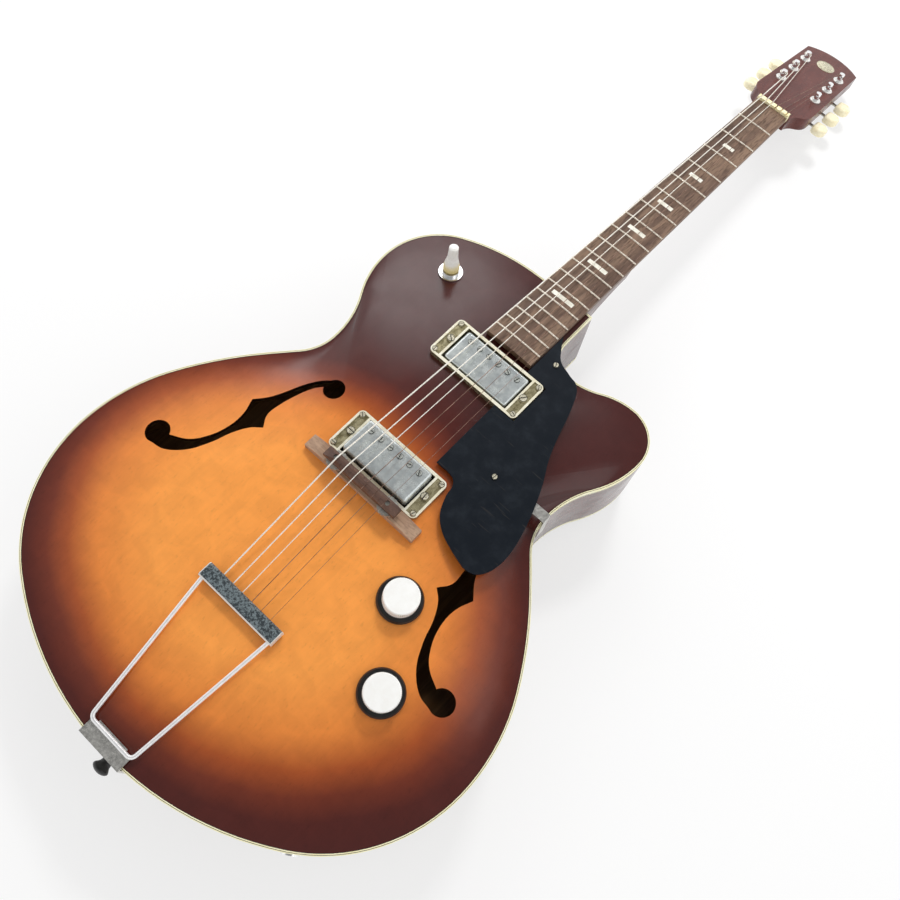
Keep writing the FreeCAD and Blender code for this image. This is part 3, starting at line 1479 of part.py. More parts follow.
def end_pin():
    """The strap button in the tail, which also holds the bracket."""
    collar = e.pin_collar_long
    waist = collar + e.pin_taper
    waist_end = waist + e.pin_waist_long
    head = waist_end + e.pin_taper
    top = head + e.pin_head_long
    points = [(0, -e.pin_sink), (e.pin_shank, -e.pin_sink), (e.pin_shank, 0), (e.pin_collar, 0),
              (e.pin_collar, collar), (e.pin_waist, waist), (e.pin_waist, waist_end), (e.pin_head, head),
              (e.pin_dome, top), (0, top)]
    outer = spot(0, v.body_length + v.bracket_thick, -v.pin_at)
    keep("end_pin", turned("end_pin", points, facing(outer, -Y_AXIS)))


# Strings, each from the bar over the saddle and the nut to two thirds of a turn round its post

SLOT_END = NECK_PLACE.multVec(Vector(0, JOINT_FROM_NUT + v.nut_long, v.string_nut_lift))
WIND_LEVEL = HEAD_PLACE.inverse().multVec(SLOT_END).z + v.string_6 / 2 + v.run_gap
POST_ORDER = (0, 1, 2, 5, 4, 3)
WIND_SHARES = (1 / 6, 1 / 3, 1 / 2, 2 / 3)


def string(index, diameter):
    radius = diameter / 2
    bar_level = v.bar_top - v.string_bar_drop
    bar = spot(string_offset(v.string_tail_span, index), BAR_AT - v.bar_wide / 2, bar_level)
    over_saddle = SADDLE_TOP + v.string_lift + radius
    saddle_point = spot(string_offset(v.string_bridge_span, index), v.bridge_at, over_saddle)
    leave = Vector(string_offset(v.string_nut_span, index), JOINT_FROM_NUT + v.nut_long, 0)
    level = WIND_LEVEL
    to_head = HEAD_PLACE.inverse().multiply(NECK_PLACE)
    nut_point = to_head.multVec(leave)
    nut_point.z = level
    post = tuner_places()[POST_ORDER[index]].Base
    post.z = level
    wind = v.post_radius + v.wind_gap + radius
    away = post - nut_point
    side = 1 if post.x > 0 else -1
    tilt = side * math.asin(wind / away.Length)
    way = Rotation(Z_AXIS, math.degrees(tilt)).multVec(unit(away))
    touch = nut_point + way * math.sqrt(away.Length ** 2 - wind ** 2)
    turns = [Rotation(Z_AXIS, -side * 360 * share).multVec(touch - post) + post for share in WIND_SHARES]
    corners = [bar, saddle_point, HEAD_PLACE.multVec(nut_point), HEAD_PLACE.multVec(touch)]
    path = bent_wire(corners, v.string_bend)
    winding = [Part.Arc(*(HEAD_PLACE.multVec(point) for point in arc)).toShape()
               for arc in ((touch, turns[0], turns[1]), (turns[1], turns[2], turns[3]))]
    return swept(Part.Wire(path.Edges + winding), radius)


def strings():
    runs = []
    for index, alias in enumerate(STRING_DIAMETERS):
        runs.append(string(index, getattr(v, alias)))
    group("strings", runs)


# Controls

def knob(name):
    """A knob, a wide skirt under a tall cap, and its shaft, square to the top."""
    place = CONTROL_PLACES[name]
    low = e.knob_lift
    edge, skirt, top = low + e.knob_skirt_edge, low + e.knob_skirt_tall, low + e.knob_tall
    brow = top - e.knob_cap_edge
    recess, bore = low + e.knob_recess_deep, low + e.knob_bore_deep
    points = [(e.pot_shaft, recess), (e.knob_recess, recess), (e.knob_recess, low), (e.knob_skirt, low),
              (e.knob_skirt, edge), (e.knob_skirt_rim, skirt), (e.knob_cap, skirt), (e.knob_cap, brow),
              (e.knob_cap - e.knob_cap_edge, top), (0, top), (0, bore), (e.pot_shaft, bore)]
    keep(name + "_knob", turned(name + "_knob", points, place))
    foot = -(e.plate_thick + e.pot_gap + e.pot_shaft_sink)
    shaft = [(0, foot), (e.pot_shaft, foot), (e.pot_shaft, bore), (0, bore)]
    keep(name + "_shaft", turned(name + "_shaft", shaft, place))


def potentiometers():
    under = e.plate_thick + e.pot_gap
    bore = e.pot_shaft + e.run_gap
    foot = under + e.pot_shaft_sink + e.run_gap
    gap, nut_top = e.seat_gap, e.seat_gap + e.pot_nut_tall
    base = under + e.pot_tall
    points = [(0, -base), (e.pot_radius, -base), (e.pot_radius, -under), (e.pot_neck, -under),
              (e.pot_neck, gap), (e.pot_nut, gap), (e.pot_nut, nut_top), (bore, nut_top), (bore, -foot),
              (0, -foot)]
    pot = turned("pot_blank", points)
    doc.recompute()
    group("potentiometers", [placed(pot.Shape, CONTROL_PLACES[name]) for name in ("volume", "tone")])


def switch():
    """The three-way switch: body under the top, washer and nut above it, lever on a cross pin, and tip."""
    place = CONTROL_PLACES["switch"]
    under = e.plate_thick + e.pot_gap
    base = under + e.switch_body_tall
    low, washer = e.seat_gap, e.seat_gap + e.switch_washer_thick
    top = washer + e.switch_nut_tall
    body = [(0, -base), (e.switch_body, -base), (e.switch_body, -under), (e.switch_neck, -under),
            (e.switch_neck, low), (e.switch_washer, low), (e.switch_washer, washer), (e.switch_nut, washer),
            (e.switch_nut, top), (e.switch_bore, top), (e.switch_bore, -under), (0, -under)]
    keep("switch_body", turned("switch_body", body, place))
    pin_half = math.sqrt(v.switch_bore ** 2 - v.lever_pin ** 2) - v.run_gap
    pivot = Vector(0, 0, -v.lever_drop)
    arm = rod(v.lever_radius, pivot, Vector(0, 0, v.lever_reach))
    pin = rod(v.lever_pin, pivot - X_AXIS * pin_half, pivot + X_AXIS * pin_half)
    shaped("switch_lever", arm.fuse(pin), place)
    foot = e.tip_lift
    foot_top, waist, top = foot + e.tip_foot_tall, foot + e.tip_neck_at, foot + e.tip_tall
    tip = [(e.lever_radius, foot), (e.tip_foot, foot), (e.tip_foot, foot_top), (e.tip_neck, waist),
           (e.tip_top, top - e.tip_crown_tall), (e.tip_crown, top), (0, top), (0, e.lever_reach),
           (e.lever_radius, e.lever_reach)]
    keep("switch_tip", turned("switch_tip", tip, place))


def output_jack():
    gap, top = e.seat_gap, e.seat_gap + e.jack_flange_thick
    deep, inside = e.jack_bore_deep, e.jack_inside
    points = [(0, -inside), (e.jack_barrel, -inside), (e.jack_barrel, gap), (e.jack_flange, gap),
              (e.jack_flange, top), (e.jack_bore, top), (e.jack_bore, -deep), (0, -deep)]
    keep("output_jack", turned("output_jack", points, JACK_PLACE))


# Pickguard

def guard_level(at):
    """Height of the guard's upper face above the rim."""
    return v.guard_top + (at - v.guard_at) * math.tan(math.radians(v.guard_tilt))


def pickguard():
    runs = []
    start = spot(v.guard_in, v.guard_at, -RIM_Z)
    for edge in GUARD_SHARES:
        runs += smooth_run([start + Vector(a * v.guard_wide, -b * v.guard_long, 0) for a, b in edge])
    plan = upright(face_of(runs), 0, 2 * RIM_Z)
    wide, long = 2 * v.guard_wide + v.overrun, 2 * v.guard_long
    slab = block(2 * wide, 2 * long, -v.guard_thick, 0)
    slab.Placement = Placement(spot(0, v.guard_at, v.guard_top), Rotation(X_AXIS, -v.guard_tilt))
    plate = plan.common(slab)
    play = 2 * v.guard_play
    for at, _, _ in PICKUPS.values():
        plate = plate.cut(block(v.ring_long + play, v.ring_wide + play, 0, 2 * RIM_Z, spot(0, at, 0)))
    bridge_at = spot(0, v.bridge_at, 0)
    plate = plate.cut(block(v.bridge_long + play, v.bridge_wide + play, 0, 2 * RIM_Z, bridge_at))
    screws = [placed(SCREW_LONG, place) for place in guard_screws()]
    shaped("pickguard", plate.cut(Part.makeCompound(screws)))
    guard_clip()


def guard_screws():
    places = []
    for out, at in ((v.guard_screw_out, v.guard_screw_at), (v.guard_neck_screw_out, v.guard_neck_screw_at)):
        places.append(Placement(spot(out, at, guard_level(at) + v.run_gap), Rotation()))
    return places


def guard_edge(at):
    """How far out the guard's edge lies at a place."""
    share = (at - v.guard_at) / v.guard_long
    for (near_out, near), (far_out, far) in zip(GUARD_SHARES[0], GUARD_SHARES[0][1:]):
        if near <= share <= far:
            way = (share - near) / (far - near)
            return v.guard_in + v.guard_wide * (near_out + way * (far_out - near_out))
    raise ValueError("the guard doesn't reach this place")


def guard_clip():
    """The bent clip that holds the guard off the rim at the waist."""
    edge = e.waist / 2 + e.clip_play
    level = Size.of(guard_level(CLIP_AT - v.clip_wide / 2) - v.guard_thick)
    inner, thick = Size.of(guard_edge(CLIP_AT)) - e.clip_lap, e.clip_thick
    outline = [(inner, level), (inner, level - thick), (edge, level - thick),
               (edge, -e.clip_drop), (edge + thick, -e.clip_drop), (edge + thick, level)]
    keep("pickguard_bracket", padded("pickguard_bracket", "XZ_Plane", outline, e.clip_wide,
                                     Placement(spot(0, CLIP_AT, 0), Rotation())))


# Screws

SCREW = screw(v.screw_head, v.screw_head_tall, v.screw_shank, v.screw_long)
SCREW_LONG = screw(v.screw_head, v.screw_head_tall, v.screw_shank, 2 * v.screw_long)


def ring_screws():
    places = []
    for at, top, _ in PICKUPS.values():
        for side in (-1, 1):
            for end in (-1, 1):
                point = spot(side * v.ring_screw_out, at + end * v.ring_screw_side, top - v.ring_dish)
                places.append(Placement(point, Rotation()))
    return places


def height_screws():
    screws = []
    for at, ring_top, cover_top in PICKUPS.values():
        seat = ring_top - v.ring_dish
        lug = cover_top - v.cover_tall
        for side in (-1, 1):
            pin = screw(v.height_head, v.height_head_tall, v.height_shank, seat - lug)
            screws.append(placed(pin, Placement(spot(side * v.height_screw_out, at, seat), Rotation())))
    return screws


def bracket_screws():
    places = []
    for side in (-1, 1):
        above = 3 * v.screw_head - v.bracket_drop
        point = spot(side * v.bracket_wide / 3, v.body_length + v.bracket_thick, above)
        places.append(facing(point, -Y_AXIS))
    return places


def screws():
    """All the small screws, and the holes that they need."""
    small = [placed(SCREW, place) for place in ring_screws() + strip_screws() + bracket_screws()]
    small += [placed(SCREW_LONG, place) for place in guard_screws()]
    lifts = height_screws()
    group("mounting_screws", small)
    group("height_screws", lifts)
    for label in ("top_plate", "neck_pickup_ring", "bridge_pickup_ring", "neck", "tuner_strips",
                  "tail_bracket", "bass_rib", "treble_rib", "end_block"):
        item = nodes[label]
        shape = item.Shape
        for tool in small + lifts:
            if tool.BoundBox.intersect(shape.BoundBox):
                shape = shape.cut(tool)
        item.Shape = shape


def build():
    shaped("top_plate", top_plate())
    shaped("back_plate", back_plate())
    sound_box()
    fretboard()
    shaped("neck", neck())
    shaped("truss_rod", truss_blank(), NECK_PLACE)
    nut()
    head_badge()
    tuners()
    pickups()
    bridge()
    tailpiece()
    strings()
    for name in ("volume", "tone"):
        knob(name)
    potentiometers()
    switch()
    output_jack()
    pickguard()
    screws()
    doc.recompute()


def check_and_write():
    for item in doc.Objects:
        if "Invalid" in item.State or "Error" in item.State:
            raise RuntimeError("%s failed: %s" % (item.Label, item.State))
    os.makedirs("parts", exist_ok=True)
    for label, item in nodes.items():
        if item.Shape.isNull() or not item.Shape.isValid():
            raise RuntimeError(label + " has no valid shape")
    for label, item in nodes.items():
        item.Shape.exportStep("parts/%s.step" % label)


build()
check_and_write()
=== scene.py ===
import json
import math

import bmesh
import bpy
from mathutils import Matrix, Vector


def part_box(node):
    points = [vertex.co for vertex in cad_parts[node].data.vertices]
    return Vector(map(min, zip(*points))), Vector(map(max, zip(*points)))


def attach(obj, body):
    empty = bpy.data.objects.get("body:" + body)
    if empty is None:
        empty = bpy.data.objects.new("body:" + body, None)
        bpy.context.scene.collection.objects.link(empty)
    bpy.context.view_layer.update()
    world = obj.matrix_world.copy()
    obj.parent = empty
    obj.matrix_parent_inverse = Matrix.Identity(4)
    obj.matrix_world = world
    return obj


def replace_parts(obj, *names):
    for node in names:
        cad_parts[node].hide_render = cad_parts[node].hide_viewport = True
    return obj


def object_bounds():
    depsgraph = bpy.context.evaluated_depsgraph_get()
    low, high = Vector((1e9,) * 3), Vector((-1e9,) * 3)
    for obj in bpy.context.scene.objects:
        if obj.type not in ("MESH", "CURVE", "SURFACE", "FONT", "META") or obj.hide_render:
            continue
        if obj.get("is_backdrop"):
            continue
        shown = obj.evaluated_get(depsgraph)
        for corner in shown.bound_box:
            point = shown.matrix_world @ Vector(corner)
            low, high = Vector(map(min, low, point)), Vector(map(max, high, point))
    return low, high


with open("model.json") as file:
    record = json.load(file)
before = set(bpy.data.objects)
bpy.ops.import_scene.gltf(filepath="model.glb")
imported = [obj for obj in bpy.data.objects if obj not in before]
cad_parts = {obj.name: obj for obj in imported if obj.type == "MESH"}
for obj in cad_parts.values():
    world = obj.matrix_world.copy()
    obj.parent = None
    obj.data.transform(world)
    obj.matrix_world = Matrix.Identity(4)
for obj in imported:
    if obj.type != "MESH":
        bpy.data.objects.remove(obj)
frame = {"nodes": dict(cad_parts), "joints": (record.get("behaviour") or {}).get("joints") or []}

CAD_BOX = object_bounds()
NODES = frame["nodes"]
JOINTS = {joint["name"]: joint for joint in frame["joints"]}
MM = 0.001

# The neck joint's line and the rim's top edge, which the outline and the camera are measured from
JOINT_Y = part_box("top_binding")[1].y
RIM_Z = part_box("top_binding")[1].z
RIM_DEPTH = RIM_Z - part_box("back_binding")[0].z
BOARD_CAMBER = 305 * MM

# Heights along a knob's axis where its white cap starts, where the cap's ribs start and where both end
KNOB_CAP_LOW = 4.35 * MM
KNOB_RIBS_LOW = KNOB_CAP_LOW + 0.5 * MM
KNOB_TOP = 15.9 * MM

# Where a tuner's button starts, from the centre line outwards
BUTTON_FROM = 37.9 * MM

# Points nearer than this are one point
MERGE_GAP = 0.002 * MM


def srgb(red, green, blue):
    """A colour as an eye sees it, from 0 to 255, in the shader's own terms."""
    def linear(level):
        level /= 255
        return level / 12.92 if level <= 0.04045 else ((level + 0.055) / 1.055) ** 2.4
    return linear(red), linear(green), linear(blue), 1.0


# Shader sums

class Value:
    """A shader socket that can be used in sums."""

    def __init__(self, finish, socket):
        self.finish = finish
        self.socket = socket

    def maths(self, operation, *terms):
        return self.finish.add("ShaderNodeMath", {"operation": operation}, dict(enumerate(terms)))

    def __add__(self, other):
        return self.maths("ADD", self, other)

    def __sub__(self, other):
        return self.maths("SUBTRACT", self, other)

    def __rsub__(self, other):
        return self.maths("SUBTRACT", other, self)

    def __mul__(self, other):
        return self.maths("MULTIPLY", self, other)

    def __truediv__(self, other):
        return self.maths("DIVIDE", self, other)

    def __pow__(self, other):
        return self.maths("POWER", self, other)

    def __abs__(self):
        return self.maths("ABSOLUTE", self)

    def __gt__(self, other):
        return self.maths("GREATER_THAN", self, other)

    def __lt__(self, other):
        return self.maths("LESS_THAN", self, other)

    __radd__ = __add__


class Finish:
    """A surface finish while its nodes are laid out."""

    def __init__(self, name, roughness=0.5, **constants):
        self.material = bpy.data.materials.new(name)
        self.material.use_nodes = True
        self.tree = self.material.node_tree
        self.shader = self.tree.nodes["Principled BSDF"]
        self.shader.inputs["Roughness"].default_value = roughness
        for socket, level in constants.items():
            self.shader.inputs[socket.replace("_", " ")].default_value = level

    def add(self, kind, settings=None, inputs=None, output=0):
        """One node: its settings first, then the values or links of its sockets."""
        node = self.tree.nodes.new(kind)
        for setting, level in (settings or {}).items():
            if setting == "stops":
                ramp = node.color_ramp
                while len(ramp.elements) < len(level):
                    ramp.elements.new(1.0)
                for element, (position, colour) in zip(ramp.elements, level):
                    element.position = position
                    element.color = colour
            else:
                setattr(node, setting, level)
        for key, level in (inputs or {}).items():
            if isinstance(level, Value):
                self.tree.links.new(level.socket, node.inputs[key])
            else:
                node.inputs[key].default_value = level
        return Value(self, node.outputs[output])

    def drive(self, socket, value):
        """Feeds a socket of the shader."""
        self.tree.links.new(value.socket, self.shader.inputs[socket])

    def place(self):
        """Object coordinates, which at rest are the frame's own."""
        return self.add("ShaderNodeTexCoord", output=3)

    def mapped(self, scale=(1, 1, 1), turn=(0, 0, 0), move=(0, 0, 0)):
        """Object coordinates, moved, turned and stretched for a pattern."""
        inputs = {"Vector": self.place(), "Scale": scale, "Rotation": turn, "Location": move}
        return self.add("ShaderNodeMapping", inputs=inputs)

    def axes(self):
        """Object coordinates as three values."""
        split = self.add("ShaderNodeSeparateXYZ", inputs={0: self.place()}).socket.node
        return [Value(self, socket) for socket in split.outputs]

    def facing_up(self):
        """How far the surface looks upwards, from -1 to 1."""
        normal = self.add("ShaderNodeNewGeometry", output=1)
        return self.add("ShaderNodeSeparateXYZ", inputs={0: normal}, output=2)

    def noise(self, vector, scale, detail=3.0, roughness=0.5, distortion=0.0):
        inputs = {"Vector": vector, "Scale": scale, "Detail": detail, "Roughness": roughness,
                  "Distortion": distortion}
        return self.add("ShaderNodeTexNoise", inputs=inputs)

    def spread(self, value, low, high, to_low=0.0, to_high=1.0):
        """A value's range brought to another, and held inside it."""
        settings = {"clamp": True, "interpolation_type": "SMOOTHSTEP"}
        inputs = {0: value, 1: low, 2: high, 3: to_low, 4: to_high}
        return self.add("ShaderNodeMapRange", settings, inputs)

    def ramp(self, value, stops):
        return self.add("ShaderNodeValToRGB", {"stops": stops}, {0: value})

    def mix(self, share, first, second, blend="MIX"):
        return self.add("ShaderNodeMix", {"data_type": "RGBA", "blend_type": blend},
                        {0: share, 6: first, 7: second}, 2)

    def bump(self, height, strength, distance):
        inputs = {"Height": height, "Strength": strength, "Distance": distance}
        return self.add("ShaderNodeBump", inputs=inputs)


# Finishes

AMBER = srgb(250, 160, 74)
HONEY = srgb(228, 134, 58)
CHESTNUT = srgb(164, 78, 33)
RUSSET = srgb(112, 46, 27)
MAHOGANY = srgb(80, 30, 24)
PLUM = srgb(70, 29, 27)
BARE_WOOD = srgb(176, 132, 84)
BARE_WOOD_DARK = srgb(150, 106, 62)
WALL_STAIN = srgb(34, 18, 12)

# The sunburst's middle and half sizes, and its colours from the middle outwards
BURST_X = -12 * MM
BURST_Y = JOINT_Y - 345 * MM
BURST_HALF_WIDE = 170 * MM
BURST_HALF_LONG = 139 * MM
BURST_STOPS = [(0.29, AMBER), (0.43, HONEY), (0.51, CHESTNUT),
               (0.565, RUSSET), (0.62, MAHOGANY), (0.73, PLUM)]

# A surface of a plate that looks up or down less than this is the wall of an opening
WALL_FACING = 0.3


def burst_finish(name, outside_up):
    """Sunburst lacquer on an arched plate: amber middle, dark edge, bare wood on the inner face."""
    finish = Finish(name)
    x, y = finish.axes()[:2]
    across = (x - BURST_X) / BURST_HALF_WIDE
    along = (y - BURST_Y) / BURST_HALF_LONG
    cloud = finish.noise(finish.mapped(), 9.0, 3.0, 0.55) - 0.5
    field = (across ** 2 + along ** 2) ** 0.5 + cloud * 0.09
    burst = finish.ramp(field / 2, BURST_STOPS)
    grain = finish.noise(finish.mapped((210, 14, 60), move=(0.3, 0, 0)), 1.0, 4.0, 0.6, 0.5)
    figure = finish.noise(finish.mapped((46, 60, 20), turn=(0, 0, 0.5)), 1.0, 3.0, 0.6, 0.6)
    flecks = finish.noise(finish.mapped((620, 170, 200)), 1.0, 2.0, 0.7)
    shade = finish.spread(grain, 0.3, 0.7, 0.965, 1.02) * finish.spread(figure, 0.3, 0.7, 0.93, 1.04)
    shade = shade * finish.spread(flecks, 0.26, 0.42, 0.88, 1.0)
    grey = finish.add("ShaderNodeCombineColor", inputs={0: shade, 1: shade, 2: shade})
    colour = finish.mix(1.0, burst, grey, "MULTIPLY")
    facing = finish.facing_up()
    inner = (facing < -WALL_FACING) if outside_up else (facing > WALL_FACING)
    wall = abs(facing) < WALL_FACING
    bare = finish.mix(finish.spread(grain, 0.35, 0.65), BARE_WOOD, BARE_WOOD_DARK)
    colour = finish.mix(inner, colour, bare)
    colour = finish.mix(wall, colour, WALL_STAIN)
    wear = finish.noise(finish.mapped(), 38.0, 5.0, 0.65)
    finish.drive("Base Color", colour)
    finish.drive("Roughness", finish.spread(wear, 0.3, 0.75, 0.17, 0.26) + inner * 0.3)
    finish.drive("Normal", finish.bump(grain * 0.5 + wear * 0.5, 0.04, 0.0005))
    return finish.material


def dark_lacquer(name, light, dark, coat, shine):
    """Red-brown lacquer over figured wood, as on the ribs and the neck."""
    finish = Finish(name, Coat_Roughness=0.15, Specular_IOR_Level=shine)
    grain = finish.noise(finish.mapped((160, 10, 160)), 1.0, 4.0, 0.6, 0.3)
    cloud = finish.noise(finish.mapped(), 7.0, 2.0)
    share = finish.spread(grain * 0.6 + cloud * 0.4, 0.35, 0.65)
    wear = finish.noise(finish.mapped(), 45.0, 5.0, 0.65)
    finish.drive("Base Color", finish.mix(share, dark, light))
    finish.drive("Roughness", finish.spread(wear, 0.3, 0.75, 0.2, 0.38))
    finish.drive("Coat Weight", finish.spread(cloud, 0.2, 0.8, *coat))
    finish.drive("Normal", finish.bump(grain, 0.05, 0.0005))
    return finish.material


# The dark lines on the binding's side: distances from the plate's edge, half a line's width
BINDING_LINES = (4.2 * MM, 5.5 * MM)
BINDING_LINE_HALF = 0.35 * MM


def binding_finish():
    """Aged cream binding with two thin dark lines round its side."""
    finish = Finish("cream_binding")
    z = finish.axes()[2]
    from_top = RIM_Z - z
    from_back = z - (RIM_Z - RIM_DEPTH)
    edge = from_top.maths("MINIMUM", from_top, from_back)
    lines = sum(abs(edge - line) < BINDING_LINE_HALF for line in BINDING_LINES)
    age = finish.noise(finish.mapped(), 60.0, 4.0, 0.6)
    cream = finish.mix(finish.spread(age, 0.3, 0.7), srgb(255, 252, 218), srgb(250, 243, 196))
    finish.drive("Base Color", finish.mix(lines, cream, srgb(38, 24, 18)))
    finish.drive("Roughness", finish.spread(age, 0.3, 0.7, 0.26, 0.44))
    return finish.material


def plain_plastic(name, light, dark, rough=(0.25, 0.4), scale=50.0):
    """Moulded plastic with faint clouding and handling wear."""
    finish = Finish(name)
    cloud = finish.noise(finish.mapped(), scale, 4.0, 0.6)
    fine = finish.noise(finish.mapped(), scale * 16, 2.0)
    finish.drive("Base Color", finish.mix(finish.spread(cloud, 0.3, 0.7), dark, light))
    finish.drive("Roughness", finish.spread(cloud, 0.25, 0.75, *rough))
    finish.drive("Normal", finish.bump(fine, 0.04, 0.0002))
    return finish.material


# Wood with its grain along the guitar, and across it as on the bridge: how the bands and pores are stretched,
# how dark the pores are, the roughness and what a pore adds to it
ALONG_GRAIN = {"bands": (95, 4, 95), "pores": (800, 11, 800), "pore_dark": 0.55, "rough": (0.42, 0.6),
               "pore_rough": 0.15}
ACROSS_GRAIN = {"bands": (6, 150, 150), "pores": (40, 900, 900), "pore_dark": 0.3, "rough": (0.45, 0.65),
                "pore_rough": 0.0}


def oiled_wood(name, light, dark, streak, bands, pores, pore_dark, rough, pore_rough):
    """Oiled wood with long pores along its grain."""
    finish = Finish(name)
    figure = finish.noise(finish.mapped(bands), 1.0, 4.0, 0.6, 0.4)
    pore = finish.noise(finish.mapped(pores), 1.0, 2.0, 0.6)
    base = finish.mix(finish.spread(figure, 0.36, 0.64), dark, light)
    deep = finish.spread(pore, 0.36, 0.5, 1.0, 0.0)
    finish.drive("Base Color", finish.mix(deep * pore_dark, base, streak))
    finish.drive("Roughness", finish.spread(figure, 0.3, 0.7, *rough) + deep * pore_rough)
    finish.drive("Normal", finish.bump(1 - deep, 0.25, 0.0003))
    return finish.material


def plated(name, light, dark, rough=(0.12, 0.3), scale=400.0, mottle=0.0, metal=1.0):
    """Plated metal with a haze, and a fine mottle where the plating has dulled."""
    finish = Finish(name, Metallic=metal)
    haze = finish.noise(finish.mapped(), scale, 4.0, 0.6)
    colour = finish.mix(finish.spread(haze, 0.3, 0.7), dark, light)
    roughness = finish.spread(haze, 0.3, 0.7, *rough)
    if mottle:
        specks = finish.noise(finish.mapped(), scale * 3, 3.0, 0.7)
        patches = finish.noise(finish.mapped(), scale / 8, 2.0, 0.5)
        worn = finish.spread(patches, 0.35, 0.65, 0.3, 1.0) * mottle
        dull = finish.spread(specks, 0.36, 0.66, 1.0, 0.0) * worn
        colour = finish.mix(dull, colour, srgb(72, 78, 82))
        roughness = roughness + dull * 0.3
        finish.drive("Normal", finish.bump(specks, 0.1 * mottle, 0.0001))
    finish.drive("Base Color", colour)
    finish.drive("Roughness", roughness)
    return finish.material


# How far down the painted highlight on a pickup ring's lip reaches
RING_LIP_HIGHLIGHT = 0.2 * MM


def ring_finish(name, node_name):
    """A pickup ring: a raised lip with a painted highlight, round a floor whose plating has worn."""
    finish = Finish(name)
    # The lip is painted near white and made less metallic: a painted highlight
    lip_highlight = finish.axes()[2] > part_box(node_name)[1].z - RING_LIP_HIGHLIGHT
    haze = finish.noise(finish.mapped(), 160.0, 4.0, 0.6)
    patches = finish.noise(finish.mapped((300, 120, 300)), 1.0, 4.0, 0.7)
    floor = finish.mix(finish.spread(patches, 0.3, 0.68), srgb(132, 122, 86), srgb(206, 196, 158))
    bright = finish.mix(finish.spread(haze, 0.3, 0.7), srgb(246, 238, 208), srgb(255, 252, 234))
    finish.drive("Base Color", finish.mix(lip_highlight, floor, bright))
    finish.drive("Metallic", 0.7 - lip_highlight * 0.5)
    finish.drive("Roughness", finish.spread(haze, 0.3, 0.7, 0.2, 0.34))
    return finish.material


# The width of the painted highlights along the string bar's edges, at its tail side and at its ends
BAR_HIGHLIGHT_EDGE = 1.0 * MM
BAR_HIGHLIGHT_END = 0.7 * MM


def bar_finish():
    """Crackled dark enamel on the string bar, with a painted highlight along its tail-side edge and its ends.
    """
    finish = Finish("crackled_bar")
    low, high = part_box("tailpiece_bar")
    x, y = finish.axes()[:2]
    # Painted highlight: the tail-side edge and the ends are near white
    edge = (y < low.y + BAR_HIGHLIGHT_EDGE) + (abs(x) > high.x - BAR_HIGHLIGHT_END)
    specks = finish.noise(finish.mapped(), 620.0, 3.0, 0.65, 0.4)
    patches = finish.noise(finish.mapped(), 90.0, 2.0)
    crackle = finish.spread(specks + (patches - 0.5) * 0.2, 0.42, 0.6)
    enamel = finish.mix(crackle, srgb(46, 54, 58), srgb(130, 142, 146))
    finish.drive("Base Color", finish.mix(edge, enamel, srgb(226, 226, 222)))
    finish.drive("Metallic", finish.spread(crackle, 0.0, 1.0, 0.1, 0.4))
    finish.drive("Roughness", finish.spread(crackle, 0.0, 1.0, 0.55, 0.4))
    finish.drive("Normal", finish.bump(specks, 0.2, 0.0002))
    return finish.material


# The step from one turn of a string's winding to the next
WINDING_PITCH = 0.45 * MM


def wire_finish():
    """String wire: the bass side is wound and bright, the treble side plain and dull."""
    finish = Finish("string_wire", Metallic=0.8)
    x, y = finish.axes()[:2]
    wound = x < 0.0
    winding = y * (2 * math.pi / WINDING_PITCH)
    rings = winding.maths("SINE", winding)
    tarnish = finish.noise(finish.mapped(), 90.0, 3.0)
    bright = finish.mix(finish.spread(tarnish, 0.3, 0.7), srgb(246, 240, 226), srgb(255, 252, 244))
    dull = finish.mix(finish.spread(tarnish, 0.3, 0.7), srgb(112, 86, 74), srgb(158, 126, 110))
    finish.drive("Base Color", finish.mix(wound, dull, bright))
    finish.drive("Roughness", finish.spread(tarnish, 0.3, 0.7, 0.2, 0.35))
    finish.drive("Normal", finish.bump(rings * wound, 0.3, 0.00008))
    return finish.material


def guard_finish():
    """Dark pickguard plastic with fine scratches and dust."""
    finish = Finish("guard_plastic", Specular_IOR_Level=0.25)
    dust = finish.noise(finish.mapped(), 70.0, 6.0, 0.7)
    scratch = finish.noise(finish.mapped((30, 700, 50), turn=(0, 0, 0.7)), 1.0, 2.0, 0.6)
    line = finish.spread(scratch, 0.66, 0.72)
    colour = finish.mix(finish.spread(dust, 0.45, 0.8), srgb(10, 18, 27), srgb(26, 33, 41))
    finish.drive("Base Color", finish.mix(line * 0.2, colour, srgb(92, 84, 76)))
    finish.drive("Roughness", finish.spread(dust, 0.3, 0.75, 0.34, 0.52))
    finish.drive("Normal", finish.bump(dust - line, 0.08, 0.0002))
    return finish.material


def knob_finish(name, joint):
    """A black skirt under a white cap: the change is at a height along the knob's own axis."""
    finish = Finish(name)
    axis, foot = Vector(joint["axis"]), Vector(joint["pos_m"])
    along = finish.add("ShaderNodeVectorMath", {"operation": "DOT_PRODUCT"},
                       {0: finish.place(), 1: axis}, 1)
    cap = (along - foot.dot(axis)) > KNOB_CAP_LOW
    cloud = finish.noise(finish.mapped(), 160.0, 4.0, 0.6)
    white = finish.mix(finish.spread(cloud, 0.3, 0.7), srgb(250, 249, 245), srgb(255, 255, 252))
    black = finish.mix(finish.spread(cloud, 0.3, 0.7), srgb(12, 13, 15), srgb(24, 25, 27))
    finish.drive("Base Color", finish.mix(cap, black, white))
    finish.drive("Roughness", finish.spread(cloud, 0.3, 0.7, 0.28, 0.42))
    return finish.material


